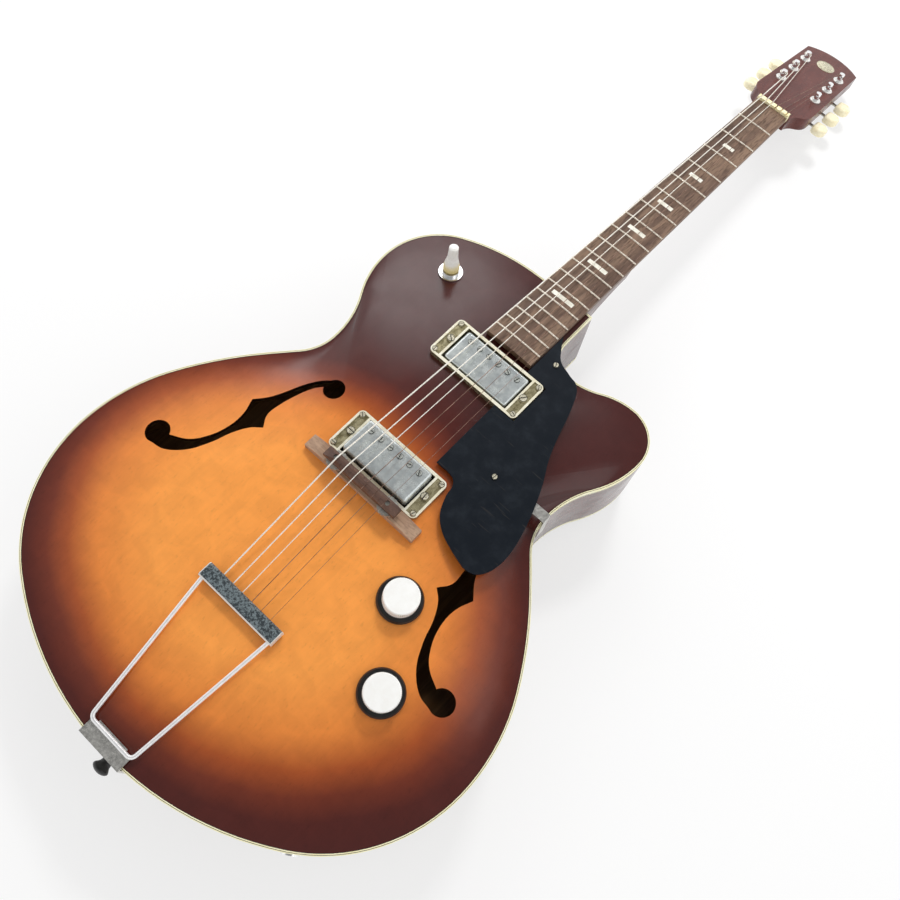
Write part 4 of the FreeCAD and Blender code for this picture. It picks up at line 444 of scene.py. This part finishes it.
def tip_finish():
    """White switch tip that has gone cream at its foot."""
    finish = Finish("switch_tip_plastic")
    low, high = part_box("switch_tip")
    height = (finish.axes()[2] - low.z) / (high.z - low.z)
    cloud = finish.noise(finish.mapped(), 160.0, 4.0, 0.6)
    white = finish.mix(finish.spread(cloud, 0.3, 0.7), srgb(250, 248, 240), srgb(255, 254, 250))
    foot = finish.spread(height + cloud * 0.1, 0.16, 0.44, 1.0, 0.0)
    finish.drive("Base Color", finish.mix(foot, white, srgb(244, 226, 160)))
    finish.drive("Roughness", finish.spread(cloud, 0.3, 0.7, 0.22, 0.36))
    return finish.material


def button_finish():
    """Cream button on a nickel shaft: the change is where the button starts."""
    finish = Finish("cream_tuner_button")
    button = abs(finish.axes()[0]) > BUTTON_FROM
    cloud = finish.noise(finish.mapped(), 120.0, 4.0, 0.6)
    cream = finish.mix(finish.spread(cloud, 0.3, 0.7), srgb(250, 238, 196), srgb(255, 249, 220))
    metal = finish.mix(finish.spread(cloud, 0.3, 0.7), srgb(150, 148, 140), srgb(196, 192, 182))
    finish.drive("Base Color", finish.mix(button, metal, cream))
    finish.drive("Metallic", 1 - button)
    finish.drive("Roughness", finish.spread(cloud, 0.3, 0.7, 0.24, 0.36))
    return finish.material


FINISHES = {
    "burst_top": burst_finish("sunburst_top", True),
    "burst_back": burst_finish("sunburst_back", False),
    "ribs": dark_lacquer("rib_lacquer", srgb(92, 34, 26), srgb(56, 20, 18), (0.3, 0.5), 0.5),
    "neck": dark_lacquer("neck_lacquer", srgb(100, 48, 40), srgb(82, 36, 31), (0.05, 0.15), 0.3),
    "binding": binding_finish(),
    "inner_wood": oiled_wood("bare_spruce", srgb(196, 156, 104), srgb(172, 128, 80), srgb(140, 98, 58),
                             **ALONG_GRAIN),
    "fretboard": oiled_wood("fretboard_rosewood", srgb(138, 112, 92), srgb(98, 74, 60), srgb(54, 36, 29),
                            **ALONG_GRAIN),
    "bridge": oiled_wood("bridge_rosewood", srgb(184, 152, 126), srgb(160, 128, 104), srgb(104, 78, 62),
                         **ACROSS_GRAIN),
    "saddle": oiled_wood("saddle_rosewood", srgb(104, 76, 62), srgb(78, 54, 44), srgb(44, 28, 22),
                         **ACROSS_GRAIN),
    "fret": plated("fret_nickel", srgb(255, 246, 232), srgb(238, 226, 208), (0.2, 0.32), metal=0.4),
    "pearl": plain_plastic("marker_pearl", srgb(250, 248, 236), srgb(226, 222, 206), (0.2, 0.35), 160.0),
    "bone": plain_plastic("nut_bone", srgb(255, 249, 212), srgb(242, 228, 172), (0.3, 0.45), 180.0),
    "guard": guard_finish(),
    "neck_ring": ring_finish("neck_ring_nickel", "neck_pickup_ring"),
    "bridge_ring": ring_finish("bridge_ring_nickel", "bridge_pickup_ring"),
    "cover": plated("cover_nickel", srgb(228, 234, 232), srgb(204, 211, 212), (0.14, 0.26), 140.0,
                    mottle=0.28, metal=0.62),
    "pole": plated("pole_nickel", srgb(214, 218, 212), srgb(178, 182, 176), (0.2, 0.36), 900.0, metal=0.7),
    "screw": plated("screw_nickel", srgb(244, 238, 216), srgb(206, 198, 172), (0.2, 0.36), 900.0, metal=0.6),
    "chrome": plated("bright_chrome", srgb(252, 252, 252), srgb(238, 239, 240), (0.16, 0.24), 300.0),
    "rod": plated("rod_chrome", srgb(255, 255, 255), srgb(246, 246, 247), (0.3, 0.4), 300.0, metal=0.6),
    "silver": plated("bushing_silver", srgb(255, 255, 253), srgb(244, 244, 240), (0.26, 0.36), 500.0),
    "steel": plated("plain_steel", srgb(204, 204, 196), srgb(170, 170, 162), (0.28, 0.45), 500.0, metal=0.7),
    "bar": bar_finish(),
    "bracket": plated("worn_bracket", srgb(240, 238, 232), srgb(212, 210, 204), (0.26, 0.42), 420.0,
                      mottle=0.5),
    "wire": wire_finish(),
    "volume_knob": knob_finish("volume_knob_plastic", JOINTS["volume_turn"]),
    "tone_knob": knob_finish("tone_knob_plastic", JOINTS["tone_turn"]),
    "black": plain_plastic("black_plastic", srgb(30, 30, 30), srgb(14, 14, 14), (0.28, 0.45)),
    "white": plain_plastic("white_cap", srgb(250, 250, 248), srgb(238, 236, 228), scale=90.0),
    "tip": tip_finish(),
    "button": button_finish(),
    "badge": plated("badge_silver", srgb(240, 234, 208), srgb(196, 188, 158), (0.2, 0.36), 500.0,
                    mottle=0.4, metal=0.6),
    "dark_line": plain_plastic("edge_line_dark", srgb(50, 30, 22), srgb(30, 18, 14)),
    "cream_line": plain_plastic("edge_line_cream", srgb(255, 250, 214), srgb(248, 238, 190)),
}

NODE_FINISHES = {
    "burst_top": ["top_plate"],
    "burst_back": ["back_plate"],
    "ribs": ["bass_rib", "treble_rib"],
    "neck": ["neck"],
    "binding": ["top_binding", "back_binding"],
    "inner_wood": ["neck_block", "end_block", "linings", "tone_bars"],
    "fretboard": ["fretboard"],
    "bridge": ["bridge_base"],
    "saddle": ["bridge_saddle"],
    "fret": ["frets"],
    "pearl": ["position_markers"],
    "bone": ["nut"],
    "guard": ["pickguard"],
    "neck_ring": ["neck_pickup_ring"],
    "bridge_ring": ["bridge_pickup_ring"],
    "cover": ["neck_pickup_cover", "bridge_pickup_cover"],
    "pole": ["pole_screws"],
    "screw": ["mounting_screws", "height_screws"],
    "chrome": ["output_jack", "switch_body"],
    "rod": ["tailpiece_rod"],
    "silver": ["tuner_bushings"],
    "steel": ["truss_rod", "bridge_posts", "bass_thumbwheel", "treble_thumbwheel", "volume_shaft",
              "tone_shaft", "potentiometers", "switch_lever", "tuner_strips"],
    "bar": ["tailpiece_bar"],
    "bracket": ["tail_bracket", "pickguard_bracket"],
    "wire": ["strings"],
    "black": ["pickup_coils", "end_pin"],
    "volume_knob": ["volume_knob"],
    "tone_knob": ["tone_knob"],
    "tip": ["switch_tip"],
    "badge": ["head_badge"],
}
NODE_FINISHES["button"] = ["tuner_button_%d" % number for number in range(1, 7)]
NODE_FINISHES["chrome"] += ["tuner_post_%d" % number for number in range(1, 7)]

for finish_name, node_names in NODE_FINISHES.items():
    for node_name in node_names:
        mesh = NODES[node_name].data
        mesh.materials.clear()
        mesh.materials.append(FINISHES[finish_name])


# Pieces that repeat or follow a path

class Growth:
    """A geometry tree while its nodes are laid out, with named inputs for its sizes."""

    def __init__(self, name, **sizes):
        self.tree = bpy.data.node_groups.new(name, "GeometryNodeTree")
        sockets = self.tree.interface
        sockets.new_socket("Geometry", in_out="INPUT", socket_type="NodeSocketGeometry")
        sockets.new_socket("Geometry", in_out="OUTPUT", socket_type="NodeSocketGeometry")
        self.identifiers = {}
        for size, level in sizes.items():
            kind = "NodeSocketInt" if isinstance(level, int) else "NodeSocketFloat"
            socket = sockets.new_socket(size, in_out="INPUT", socket_type=kind)
            socket.default_value = level
            self.identifiers[size] = socket.identifier
        self.entry = self.tree.nodes.new("NodeGroupInput")

    def size(self, name):
        return self.entry.outputs[name]

    def add(self, kind, settings=None, inputs=None, output=0):
        """One node: its settings first, then the values or links of its sockets."""
        node = self.tree.nodes.new(kind)
        for setting, level in (settings or {}).items():
            setattr(node, setting, level)
        for key, level in (inputs or {}).items():
            if isinstance(level, bpy.types.NodeSocket):
                self.tree.links.new(level, node.inputs[key])
            else:
                node.inputs[key].default_value = level
        return node.outputs[output]

    def maths(self, operation, first, second):
        return self.add("ShaderNodeMath", {"operation": operation}, {0: first, 1: second})

    def vector(self, x=0.0, y=0.0, z=0.0):
        return self.add("ShaderNodeCombineXYZ", inputs={0: x, 1: y, 2: z})

    def joined(self, *pieces):
        node = self.tree.nodes.new("GeometryNodeJoinGeometry")
        for piece in pieces:
            self.tree.links.new(piece, node.inputs[0])
        return node.outputs[0]

    def end(self, geometry, material, kept=None):
        """Plain geometry in a material, save where it has the kept one already."""
        inputs = {"Material": material}
        if kept:
            has = self.add("GeometryNodeMaterialSelection", inputs={"Material": kept})
            inputs["Selection"] = self.add("FunctionNodeBooleanMath", {"operation": "NOT"}, {0: has})
        inputs["Geometry"] = self.add("GeometryNodeRealizeInstances", inputs={"Geometry": geometry})
        done = self.add("GeometryNodeSetMaterial", inputs=inputs)
        exit_node = self.tree.nodes.new("NodeGroupOutput")
        self.tree.links.new(done, exit_node.inputs[0])
        return self


def grown(name, mesh, growth, body, slot, **levels):
    """The plain mesh that a growth makes of a mesh, riding on a body."""
    item = bpy.data.objects.new(name, mesh)
    bpy.context.scene.collection.objects.link(item)
    modifier = item.modifiers.new(name, "NODES")
    modifier.node_group = growth.tree
    for size, level in levels.items():
        modifier[growth.identifiers[size]] = level
    shown = item.evaluated_get(bpy.context.evaluated_depsgraph_get())
    plain = bpy.data.meshes.new_from_object(shown)
    item.modifiers.remove(modifier)
    item.data = plain
    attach(item, body)
    return item


def merged(node_name):
    """A copy of a CAD node's mesh whose loose triangles are joined."""
    shape = bmesh.new()
    shape.from_mesh(NODES[node_name].data)
    bmesh.ops.remove_doubles(shape, verts=shape.verts, dist=MERGE_GAP)
    return shape


def first_of(vertices):
    """The vertex that comes first by its place, so that each run takes the same one."""
    return min(vertices, key=lambda vertex: vertex.co[:])


def islands(shape):
    """The points of each separate solid in a merged mesh."""
    left = set(shape.verts)
    while left:
        start = first_of(left)
        left.remove(start)
        found, queue = [start], [start]
        while queue:
            for edge in queue.pop().link_edges:
                for vertex in edge.verts:
                    if vertex in left:
                        left.remove(vertex)
                        found.append(vertex)
                        queue.append(vertex)
        yield [vertex.co.copy() for vertex in found]


# The way out of the headstock's back, and where the headstock and the tail bracket's screws start
HEAD_BACK = -Vector(JOINTS["post_1_turn"]["axis"])
HEAD_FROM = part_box("nut")[0].y
TAIL_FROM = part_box("tail_bracket")[0].y + 2 * MM

# Points this near to a screw's end are its head's face, and each slot is turned this far from the last
HEAD_FACE = 0.05 * MM
SLOT_TURN = 2.4


def head_aim(point):
    """The way that a screw's head looks: out of the headstock's back, the tail or the top."""
    if point.y > HEAD_FROM:
        return HEAD_BACK
    return Vector((0, -1, 0)) if point.y < TAIL_FROM else Vector((0, 0, 1))


def seats(node_name, aim_of=head_aim):
    """A mesh with a point at the end of each solid of a node, which keeps its aim."""
    shape = merged(node_name)
    places, aims = [], []
    for number, points in enumerate(islands(shape)):
        aim = aim_of(min(points, key=lambda point: point.y))
        reach = max(point.dot(aim) for point in points)
        rim = [point for point in points if point.dot(aim) > reach - HEAD_FACE]
        places.append(sum(rim, Vector()) / len(rim))
        turn = aim.to_track_quat("Z", "Y") @ Matrix.Rotation(number * SLOT_TURN, 3, "Z").to_quaternion()
        aims.append(turn.to_euler())
    shape.free()
    mesh = bpy.data.meshes.new(node_name + "_seats")
    mesh.from_pydata(places, [], [])
    aim_layer = mesh.attributes.new("aim", "FLOAT_VECTOR", "POINT")
    for value, aim in zip(aim_layer.data, aims):
        value.vector = aim
    return mesh


def set_on_seats(growth, piece):
    """A copy of a piece on each seat, turned to the seat's aim."""
    aim = growth.add("GeometryNodeInputNamedAttribute", {"data_type": "FLOAT_VECTOR"}, {"Name": "aim"})
    turn = growth.add("FunctionNodeEulerToRotation", inputs={0: aim})
    return growth.add("GeometryNodeInstanceOnPoints", inputs={"Points": growth.entry.outputs[0],
                                                              "Instance": piece, "Rotation": turn})


def slotted_heads(material):
    """Low round heads, each cut across, on a black disc a little wider than itself that is painted shade for
    the gap round the head.
    """
    growth = Growth("slotted_heads", head_radius=2.3 * MM, head_height=0.7 * MM, slot_wide=0.6 * MM)
    radius, height = growth.size("head_radius"), growth.size("head_height")
    crown = growth.maths("MULTIPLY", radius, 0.74)
    head = growth.add("GeometryNodeMeshCone", inputs={"Vertices": 24, "Radius Top": crown,
                                                      "Radius Bottom": radius, "Depth": height})
    reach = growth.maths("MULTIPLY", radius, 3.0)
    slot = growth.add("GeometryNodeMeshCube",
                      inputs={"Size": growth.vector(reach, growth.size("slot_wide"), height)})
    lift = growth.vector(z=growth.maths("MULTIPLY", height, 0.65))
    slot = growth.add("GeometryNodeTransform", inputs={"Geometry": slot, "Translation": lift})
    head = growth.add("GeometryNodeMeshBoolean", {"operation": "DIFFERENCE"},
                      {"Mesh 1": head, "Mesh 2": slot})
    # A black disc under each head, a little wider than it: painted shade for the gap round the screw
    wider = growth.maths("MULTIPLY", radius, 1.08)
    shade_disc = growth.add("GeometryNodeMeshCylinder", inputs={"Vertices": 24, "Radius": wider,
                                                          "Depth": growth.maths("MULTIPLY", height, 0.36)})
    shade_disc = growth.add("GeometryNodeSetMaterial", inputs={"Geometry": shade_disc, "Material": FINISHES["black"]})
    return growth.end(set_on_seats(growth, growth.joined(head, shade_disc)), material, FINISHES["black"])


def domed_rings():
    """The rounded upper edge of each tuner bushing."""
    growth = Growth("domed_rings", ring_radius=4.75 * MM, edge_radius=0.95 * MM)
    ring = growth.add("GeometryNodeCurvePrimitiveCircle", inputs={"Resolution": 40,
                                                                  "Radius": growth.size("ring_radius")})
    section = growth.add("GeometryNodeCurvePrimitiveCircle", inputs={"Resolution": 16,
                                                                     "Radius": growth.size("edge_radius")})
    ring = growth.add("GeometryNodeCurveToMesh", inputs={"Curve": ring, "Profile Curve": section})
    return growth.end(set_on_seats(growth, ring), FINISHES["silver"])


# Straight steps in each fret's curved line
FRET_STEPS = 12


def fret_lines():
    """A mesh with the middle line of each fret's top."""
    shape = merged("frets")
    places, links = [], []
    for points in islands(shape):
        crown = max(point.z + point.x ** 2 / (2 * BOARD_CAMBER) for point in points)
        half = max(point.x for point in points)
        along = (min(point.y for point in points) + max(point.y for point in points)) / 2
        first = len(places)
        links += [(first + index, first + index + 1) for index in range(FRET_STEPS)]
        for index in range(FRET_STEPS + 1):
            across = half * (2 * index / FRET_STEPS - 1)
            places.append((across, along, crown - across ** 2 / (2 * BOARD_CAMBER)))
    shape.free()
    mesh = bpy.data.meshes.new("fret_lines")
    mesh.from_pydata(places, links, [])
    return mesh


def round_frets():
    """Round fret wire along each line, sunk until its crown is at the line's height."""
    growth = Growth("round_frets", wire_radius=0.8 * MM)
    radius = growth.size("wire_radius")
    line = growth.add("GeometryNodeMeshToCurve", inputs={"Mesh": growth.entry.outputs[0]})
    sink = growth.vector(z=growth.maths("MULTIPLY", radius, -1.0))
    line = growth.add("GeometryNodeSetPosition", inputs={"Geometry": line, "Offset": sink})
    section = growth.add("GeometryNodeCurvePrimitiveCircle", inputs={"Resolution": 16, "Radius": radius})
    wire = growth.add("GeometryNodeCurveToMesh", inputs={"Curve": line, "Profile Curve": section,
                                                         "Fill Caps": True})
    return growth.end(wire, FINISHES["fret"])


def rib_ring():
    """Fine upright ribs round a cap."""
    growth = Growth("rib_ring", rib_count=60, ring_radius=14 * MM, rib_size=0.7 * MM, rib_height=9 * MM)
    ring = growth.add("GeometryNodeMeshCircle", inputs={"Vertices": growth.size("rib_count"),
                                                        "Radius": growth.size("ring_radius")})
    size = growth.size("rib_size")
    rib = growth.add("GeometryNodeMeshCube",
                     inputs={"Size": growth.vector(size, size, growth.size("rib_height"))})
    place = growth.add("GeometryNodeInputPosition")
    turn = growth.add("FunctionNodeAlignRotationToVector", {"axis": "X"}, {"Vector": place})
    ribs = growth.add("GeometryNodeInstanceOnPoints",
                      inputs={"Points": ring, "Instance": rib, "Rotation": turn})
    return growth.end(ribs, FINISHES["white"])


def knob_ribs(growth, name):
    """The ribs of one knob's cap, set on the knob's own axis."""
    joint = JOINTS[name + "_turn"]
    ribs = grown(name + "_knob_ribs", bpy.data.meshes.new(name + "_ribs"), growth, name, "ivory",
                 rib_height=KNOB_TOP - KNOB_RIBS_LOW)
    axis = Vector(joint["axis"])
    turn = axis.to_track_quat("Z", "Y").to_matrix().to_4x4()
    middle = Vector(joint["pos_m"]) + axis * (KNOB_RIBS_LOW + KNOB_TOP) / 2
    ribs.data.transform(Matrix.Translation(middle) @ turn)


# Points this near to the rim's top are on the binding's upper face
RIM_FACE = 0.01 * MM


def inner_edge():
    """The inner edge of the top binding's upper face, as a closed line."""
    shape = merged("top_binding")
    level = RIM_Z - RIM_FACE
    top = {face for face in shape.faces if all(vertex.co.z > level for vertex in face.verts)}
    rims = [edge for edge in shape.edges if len(top.intersection(edge.link_faces)) == 1]
    follow = {}
    for edge in rims:
        for one, other in (edge.verts, reversed(edge.verts)):
            follow.setdefault(one, []).append(other)
    loops = []
    left = set(follow)
    while left:
        line = []
        ahead = left
        while ahead:
            line.append(first_of(ahead))
            left.remove(line[-1])
            ahead = [vertex for vertex in follow[line[-1]] if vertex in left]
        loops.append([vertex.co.copy() for vertex in line])
    shape.free()
    return min(loops, key=lambda loop: max(point.x for point in loop))


def edge_line(finish_name):
    """A thin line let into the top beside its binding."""
    growth = Growth(finish_name, inset=0.3 * MM, width=0.5 * MM, rise=0.12 * MM)
    line = growth.add("GeometryNodeMeshToCurve", inputs={"Mesh": growth.entry.outputs[0]})
    line = growth.add("GeometryNodeSetCurveNormal", {"mode": "Z_UP"}, {"Curve": line})
    side = growth.add("GeometryNodeInputNormal")
    shift = growth.add("ShaderNodeVectorMath", {"operation": "SCALE"},
                       {0: side, "Scale": growth.size("inset")})
    line = growth.add("GeometryNodeSetPosition", inputs={"Geometry": line, "Offset": shift})
    tall = growth.maths("MULTIPLY", growth.size("rise"), 2.0)
    section = growth.add("GeometryNodeCurvePrimitiveQuadrilateral", inputs={"Width": growth.size("width"),
                                                                            "Height": tall})
    band = growth.add("GeometryNodeCurveToMesh", inputs={"Curve": line, "Profile Curve": section})
    return growth.end(band, FINISHES[finish_name])


# Each thin line round the top: its finish, its slot, and in mm how far its middle is from the binding
# and its width
EDGE_LINES = {
    "outer_dark_line": ("dark_line", "black", 0.2, 0.4),
    "thin_cream_line": ("cream_line", "binding", 0.8, 0.8),
    "inner_dark_line": ("dark_line", "black", 1.35, 0.3),
}


def lay_edge_lines():
    """The thin lines beside the binding, laid anticlockwise so that an inset is inwards."""
    loop = inner_edge()
    turning = sum(one.x * two.y - two.x * one.y for one, two in zip(loop, loop[1:] + loop[:1]))
    if turning < 0:
        loop.reverse()
    count = len(loop)
    for name, (finish_name, slot, inset, width) in EDGE_LINES.items():
        mesh = bpy.data.meshes.new(name)
        mesh.from_pydata(loop, [(index, (index + 1) % count) for index in range(count)], [])
        grown(name, mesh, edge_line(finish_name), "body", slot, inset=inset * MM, width=width * MM)


# The badge's rim wire, its height as a share of its width, and how far it sits in the headstock's face
BADGE_WIRE = 0.7 * MM
BADGE_TALL_SHARE = 0.44
BADGE_SINK = 0.4 * MM


def oval_badge():
    """A bare domed oval with a raised wire round it, on the headstock's face."""
    growth = Growth("oval_badge", half_wide=11 * MM, half_tall=9.5 * MM, wire=BADGE_WIRE)
    dome = growth.add("GeometryNodeMeshUVSphere", inputs={"Segments": 48, "Rings": 24, "Radius": 1.0})
    crown = growth.maths("MULTIPLY", growth.size("wire"), 1.4)
    scale = growth.vector(growth.size("half_wide"), growth.size("half_tall"), crown)
    dome = growth.add("GeometryNodeTransform", inputs={"Geometry": dome, "Scale": scale})
    oval = growth.add("GeometryNodeCurvePrimitiveCircle", inputs={"Resolution": 64, "Radius": 1.0})
    oval = growth.add("GeometryNodeTransform", inputs={"Geometry": oval, "Scale": scale})
    section = growth.add("GeometryNodeCurvePrimitiveCircle", inputs={"Resolution": 10,
                                                                     "Radius": growth.size("wire")})
    wire = growth.add("GeometryNodeCurveToMesh", inputs={"Curve": oval, "Profile Curve": section})
    growth.end(growth.joined(dome, wire), FINISHES["badge"])
    low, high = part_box("head_badge")
    wide = high.x - low.x
    badge = grown("oval_badge", bpy.data.meshes.new("badge_seat"), growth, "body", "nickel",
                  half_wide=wide / 2 - BADGE_WIRE, half_tall=wide * BADGE_TALL_SHARE - BADGE_WIRE)
    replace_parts(badge, "head_badge")
    turn = (-HEAD_BACK).to_track_quat("Z", "Y").to_matrix().to_4x4()
    middle = (low + high) / 2 + HEAD_BACK * BADGE_SINK
    badge.data.transform(Matrix.Translation(middle) @ turn)


# The strap button's edge, in mm: distance from the bracket, radius. Then the steps of its turn
PIN_EDGE = ((0.0, 0.0), (0.0, 5.9), (0.4, 6.2), (1.4, 6.2), (1.8, 5.9), (2.6, 5.2), (3.8, 4.7), (5.6, 4.45),
            (7.4, 4.45), (8.8, 4.75), (10.2, 5.5), (11.4, 6.5), (12.2, 7.05), (12.9, 7.2), (13.6, 7.1),
            (14.6, 6.4), (15.6, 5.0), (16.3, 3.2), (16.65, 1.4), (16.7, 0.0))
PIN_STEPS = 48


def turned(name, edge, steps):
    """A mesh of an edge that starts and ends on the upright axis, turned about it."""
    rings = edge[1:-1]
    points = [(radius * MM * math.cos(turn), radius * MM * math.sin(turn), along * MM)
              for along, radius in rings
              for turn in (2 * math.pi * step / steps for step in range(steps))]
    first, last = len(points), len(points) + 1
    points += [(0, 0, edge[0][0] * MM), (0, 0, edge[-1][0] * MM)]
    faces = []
    for step in range(steps):
        after = (step + 1) % steps
        top = (len(rings) - 1) * steps
        faces += [(first, after, step), (last, top + step, top + after)]
        faces += [(low + step, low + after, low + steps + after, low + steps + step)
                  for low in range(0, top, steps)]
    mesh = bpy.data.meshes.new(name)
    mesh.from_pydata(points, [], faces)
    return mesh


def strap_button():
    """The strap button as one smooth turned piece."""
    low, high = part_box("end_pin")
    foot = Vector(((low.x + high.x) / 2, low.y + PIN_EDGE[-1][0] * MM, (low.z + high.z) / 2))
    turn = Vector((0, -1, 0)).to_track_quat("Z", "Y").to_matrix().to_4x4()
    mesh = turned("strap_button", PIN_EDGE, PIN_STEPS)
    mesh.transform(Matrix.Translation(foot) @ turn)
    mesh.shade_smooth()
    mesh.materials.append(FINISHES["black"])
    button = bpy.data.objects.new("strap_button", mesh)
    bpy.context.scene.collection.objects.link(button)
    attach(button, "body")
    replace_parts(button, "end_pin")


# The sizes of the slotted heads that the screws of each node get
SCREW_HEADS = {
    "pole_screws": {"head_radius": 2.32 * MM, "head_height": 0.5 * MM, "slot_wide": 0.7 * MM},
    "mounting_screws": {"head_radius": 2.3 * MM, "head_height": 0.7 * MM, "slot_wide": 0.6 * MM},
    "height_screws": {"head_radius": 3.2 * MM, "head_height": 0.8 * MM, "slot_wide": 0.9 * MM},
}

for node_name, head_sizes in SCREW_HEADS.items():
    heads = slotted_heads(NODES[node_name].data.materials[0])
    grown(node_name + "_heads", seats(node_name), heads, "body", "nickel", **head_sizes)
grown("bushing_edges", seats("tuner_bushings", lambda point: -HEAD_BACK), domed_rings(), "body", "nickel")
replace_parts(grown("fret_wires", fret_lines(), round_frets(), "body", "nickel"), "frets")
ribs = rib_ring()
for knob_name in ("volume", "tone"):
    knob_ribs(ribs, knob_name)
lay_edge_lines()
oval_badge()
strap_button()


# Stage, light and camera

# How white the floor is by itself near the guitar, between which distances it fades to plain white,
# half its width and how far it is under the guitar
FLOOR_WHITENESS = 0.65
FLOOR_FADE_FROM = 0.7
FLOOR_FADE_TO = 1.7
FLOOR_HALF = 2.0
FLOOR_DROP = 0.5 * MM

# The room's light falls between two heights of the view upwards, from one level to the other
ROOM_LIGHT = (0.5, 0.92, 1.0, 0.28)

# Each lamp: its place, its size, its watts and whether the lacquer mirrors it
LAMPS = {
    "window_lamp": ((-1.6, 1.4, 1.75), (1.7, 1.2), 16, True),
    "side_lamp": ((1.25, 0.4, 1.75), (1.4, 0.9), 3.5, True),
    "key_lamp": ((-0.45, 1.15, 1.8), (0.4, 0.4), 22, False),
}

# The photograph's camera: its eye, the way it looks, the way to its right, and its focal length
CAMERA_EYE = Vector((183.636 * MM, JOINT_Y - 416.927 * MM, RIM_Z + 691.133 * MM))
CAMERA_AHEAD = Vector((-0.21351, 0.31426, -0.92502))
CAMERA_RIGHT = Vector((0.73615, 0.67423, 0.05914))
FOCAL_PIXELS = 901.2
PHOTO_PIXELS = 900
SENSOR_WIDE = 36


def light_the_studio():
    """A pale room that is darker overhead, with its lamps."""
    world = bpy.data.worlds.new("studio_light")
    bpy.context.scene.world = world
    world.use_nodes = True
    tree = world.node_tree
    way = tree.nodes.new("ShaderNodeTexCoord")
    split = tree.nodes.new("ShaderNodeSeparateXYZ")
    level = tree.nodes.new("ShaderNodeMapRange")
    level.interpolation_type = "SMOOTHSTEP"
    for number, bound in enumerate(ROOM_LIGHT, start=1):
        level.inputs[number].default_value = bound
    tree.links.new(way.outputs["Generated"], split.inputs[0])
    tree.links.new(split.outputs[2], level.inputs[0])
    tree.nodes["Background"].inputs["Color"].default_value = (1, 1, 1, 1)
    tree.links.new(level.outputs[0], tree.nodes["Background"].inputs["Strength"])
    for name, (place, size, watts, mirrored) in LAMPS.items():
        lamp = bpy.data.lights.new(name, "AREA")
        lamp.shape = "RECTANGLE"
        lamp.size, lamp.size_y = size
        lamp.energy = watts
        item = bpy.data.objects.new(name, lamp)
        item.location = place
        item.visible_glossy = mirrored
        bpy.context.scene.collection.objects.link(item)


def pale_floor_finish():
    """A white floor that keeps a faint shadow near the guitar and fades into the white room."""
    finish = Finish("pale_floor", 0.9, Specular_IOR_Level=0.1)
    finish.shader.inputs["Base Color"].default_value = (1, 1, 1, 1)
    x, y = finish.axes()[:2]
    fade = finish.spread((x ** 2 + y ** 2) ** 0.5, FLOOR_FADE_FROM, FLOOR_FADE_TO, FLOOR_WHITENESS, 1.0)
    rays = finish.add("ShaderNodeLightPath").socket.node.outputs
    seen = sum(Value(finish, rays["Is %s Ray" % kind]) for kind in ("Camera", "Glossy", "Transmission"))
    glow = finish.add("ShaderNodeEmission", inputs={"Color": (1, 1, 1, 1), "Strength": 1.0})
    surface = finish.tree.nodes["Material Output"].inputs["Surface"]
    lit = Value(finish, finish.shader.outputs[0])
    share = seen.maths("MINIMUM", seen, 1.0) * fade
    mixed = finish.add("ShaderNodeMixShader", inputs={0: share, 1: lit, 2: glow})
    finish.tree.links.new(mixed.socket, surface)
    return finish.material


def lay_the_floor():
    """The floor, just under the guitar."""
    mesh = bpy.data.meshes.new("studio_floor")
    sides = ((-1, -1), (1, -1), (1, 1), (-1, 1))
    corners = [(x * FLOOR_HALF, y * FLOOR_HALF, -FLOOR_DROP) for x, y in sides]
    mesh.from_pydata(corners, [], [(0, 1, 2, 3)])
    floor = bpy.data.objects.new("studio_floor", mesh)
    bpy.context.scene.collection.objects.link(floor)
    mesh.materials.append(pale_floor_finish())
    floor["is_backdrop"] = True


def set_the_camera():
    """The photograph's own viewpoint, found from the guitar's sizes."""
    ahead = CAMERA_AHEAD.normalized()
    right = (CAMERA_RIGHT - ahead * CAMERA_RIGHT.dot(ahead)).normalized()
    up = right.cross(ahead)
    lens = bpy.data.cameras.new("photo_camera")
    lens.sensor_width = SENSOR_WIDE
    lens.lens = SENSOR_WIDE * FOCAL_PIXELS / PHOTO_PIXELS
    camera = bpy.data.objects.new("photo_camera", lens)
    turn = Matrix((right, up, -ahead)).transposed()
    camera.matrix_world = Matrix.Translation(CAMERA_EYE) @ turn.to_4x4()
    bpy.context.scene.collection.objects.link(camera)
    bpy.context.scene.camera = camera


light_the_studio()
lay_the_floor()
set_the_camera()
bpy.context.scene.view_settings.view_transform = "Standard"

boxes = {"cad": CAD_BOX, "visual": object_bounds()}
{name: [list(corner) for corner in box] for name, box in boxes.items()}
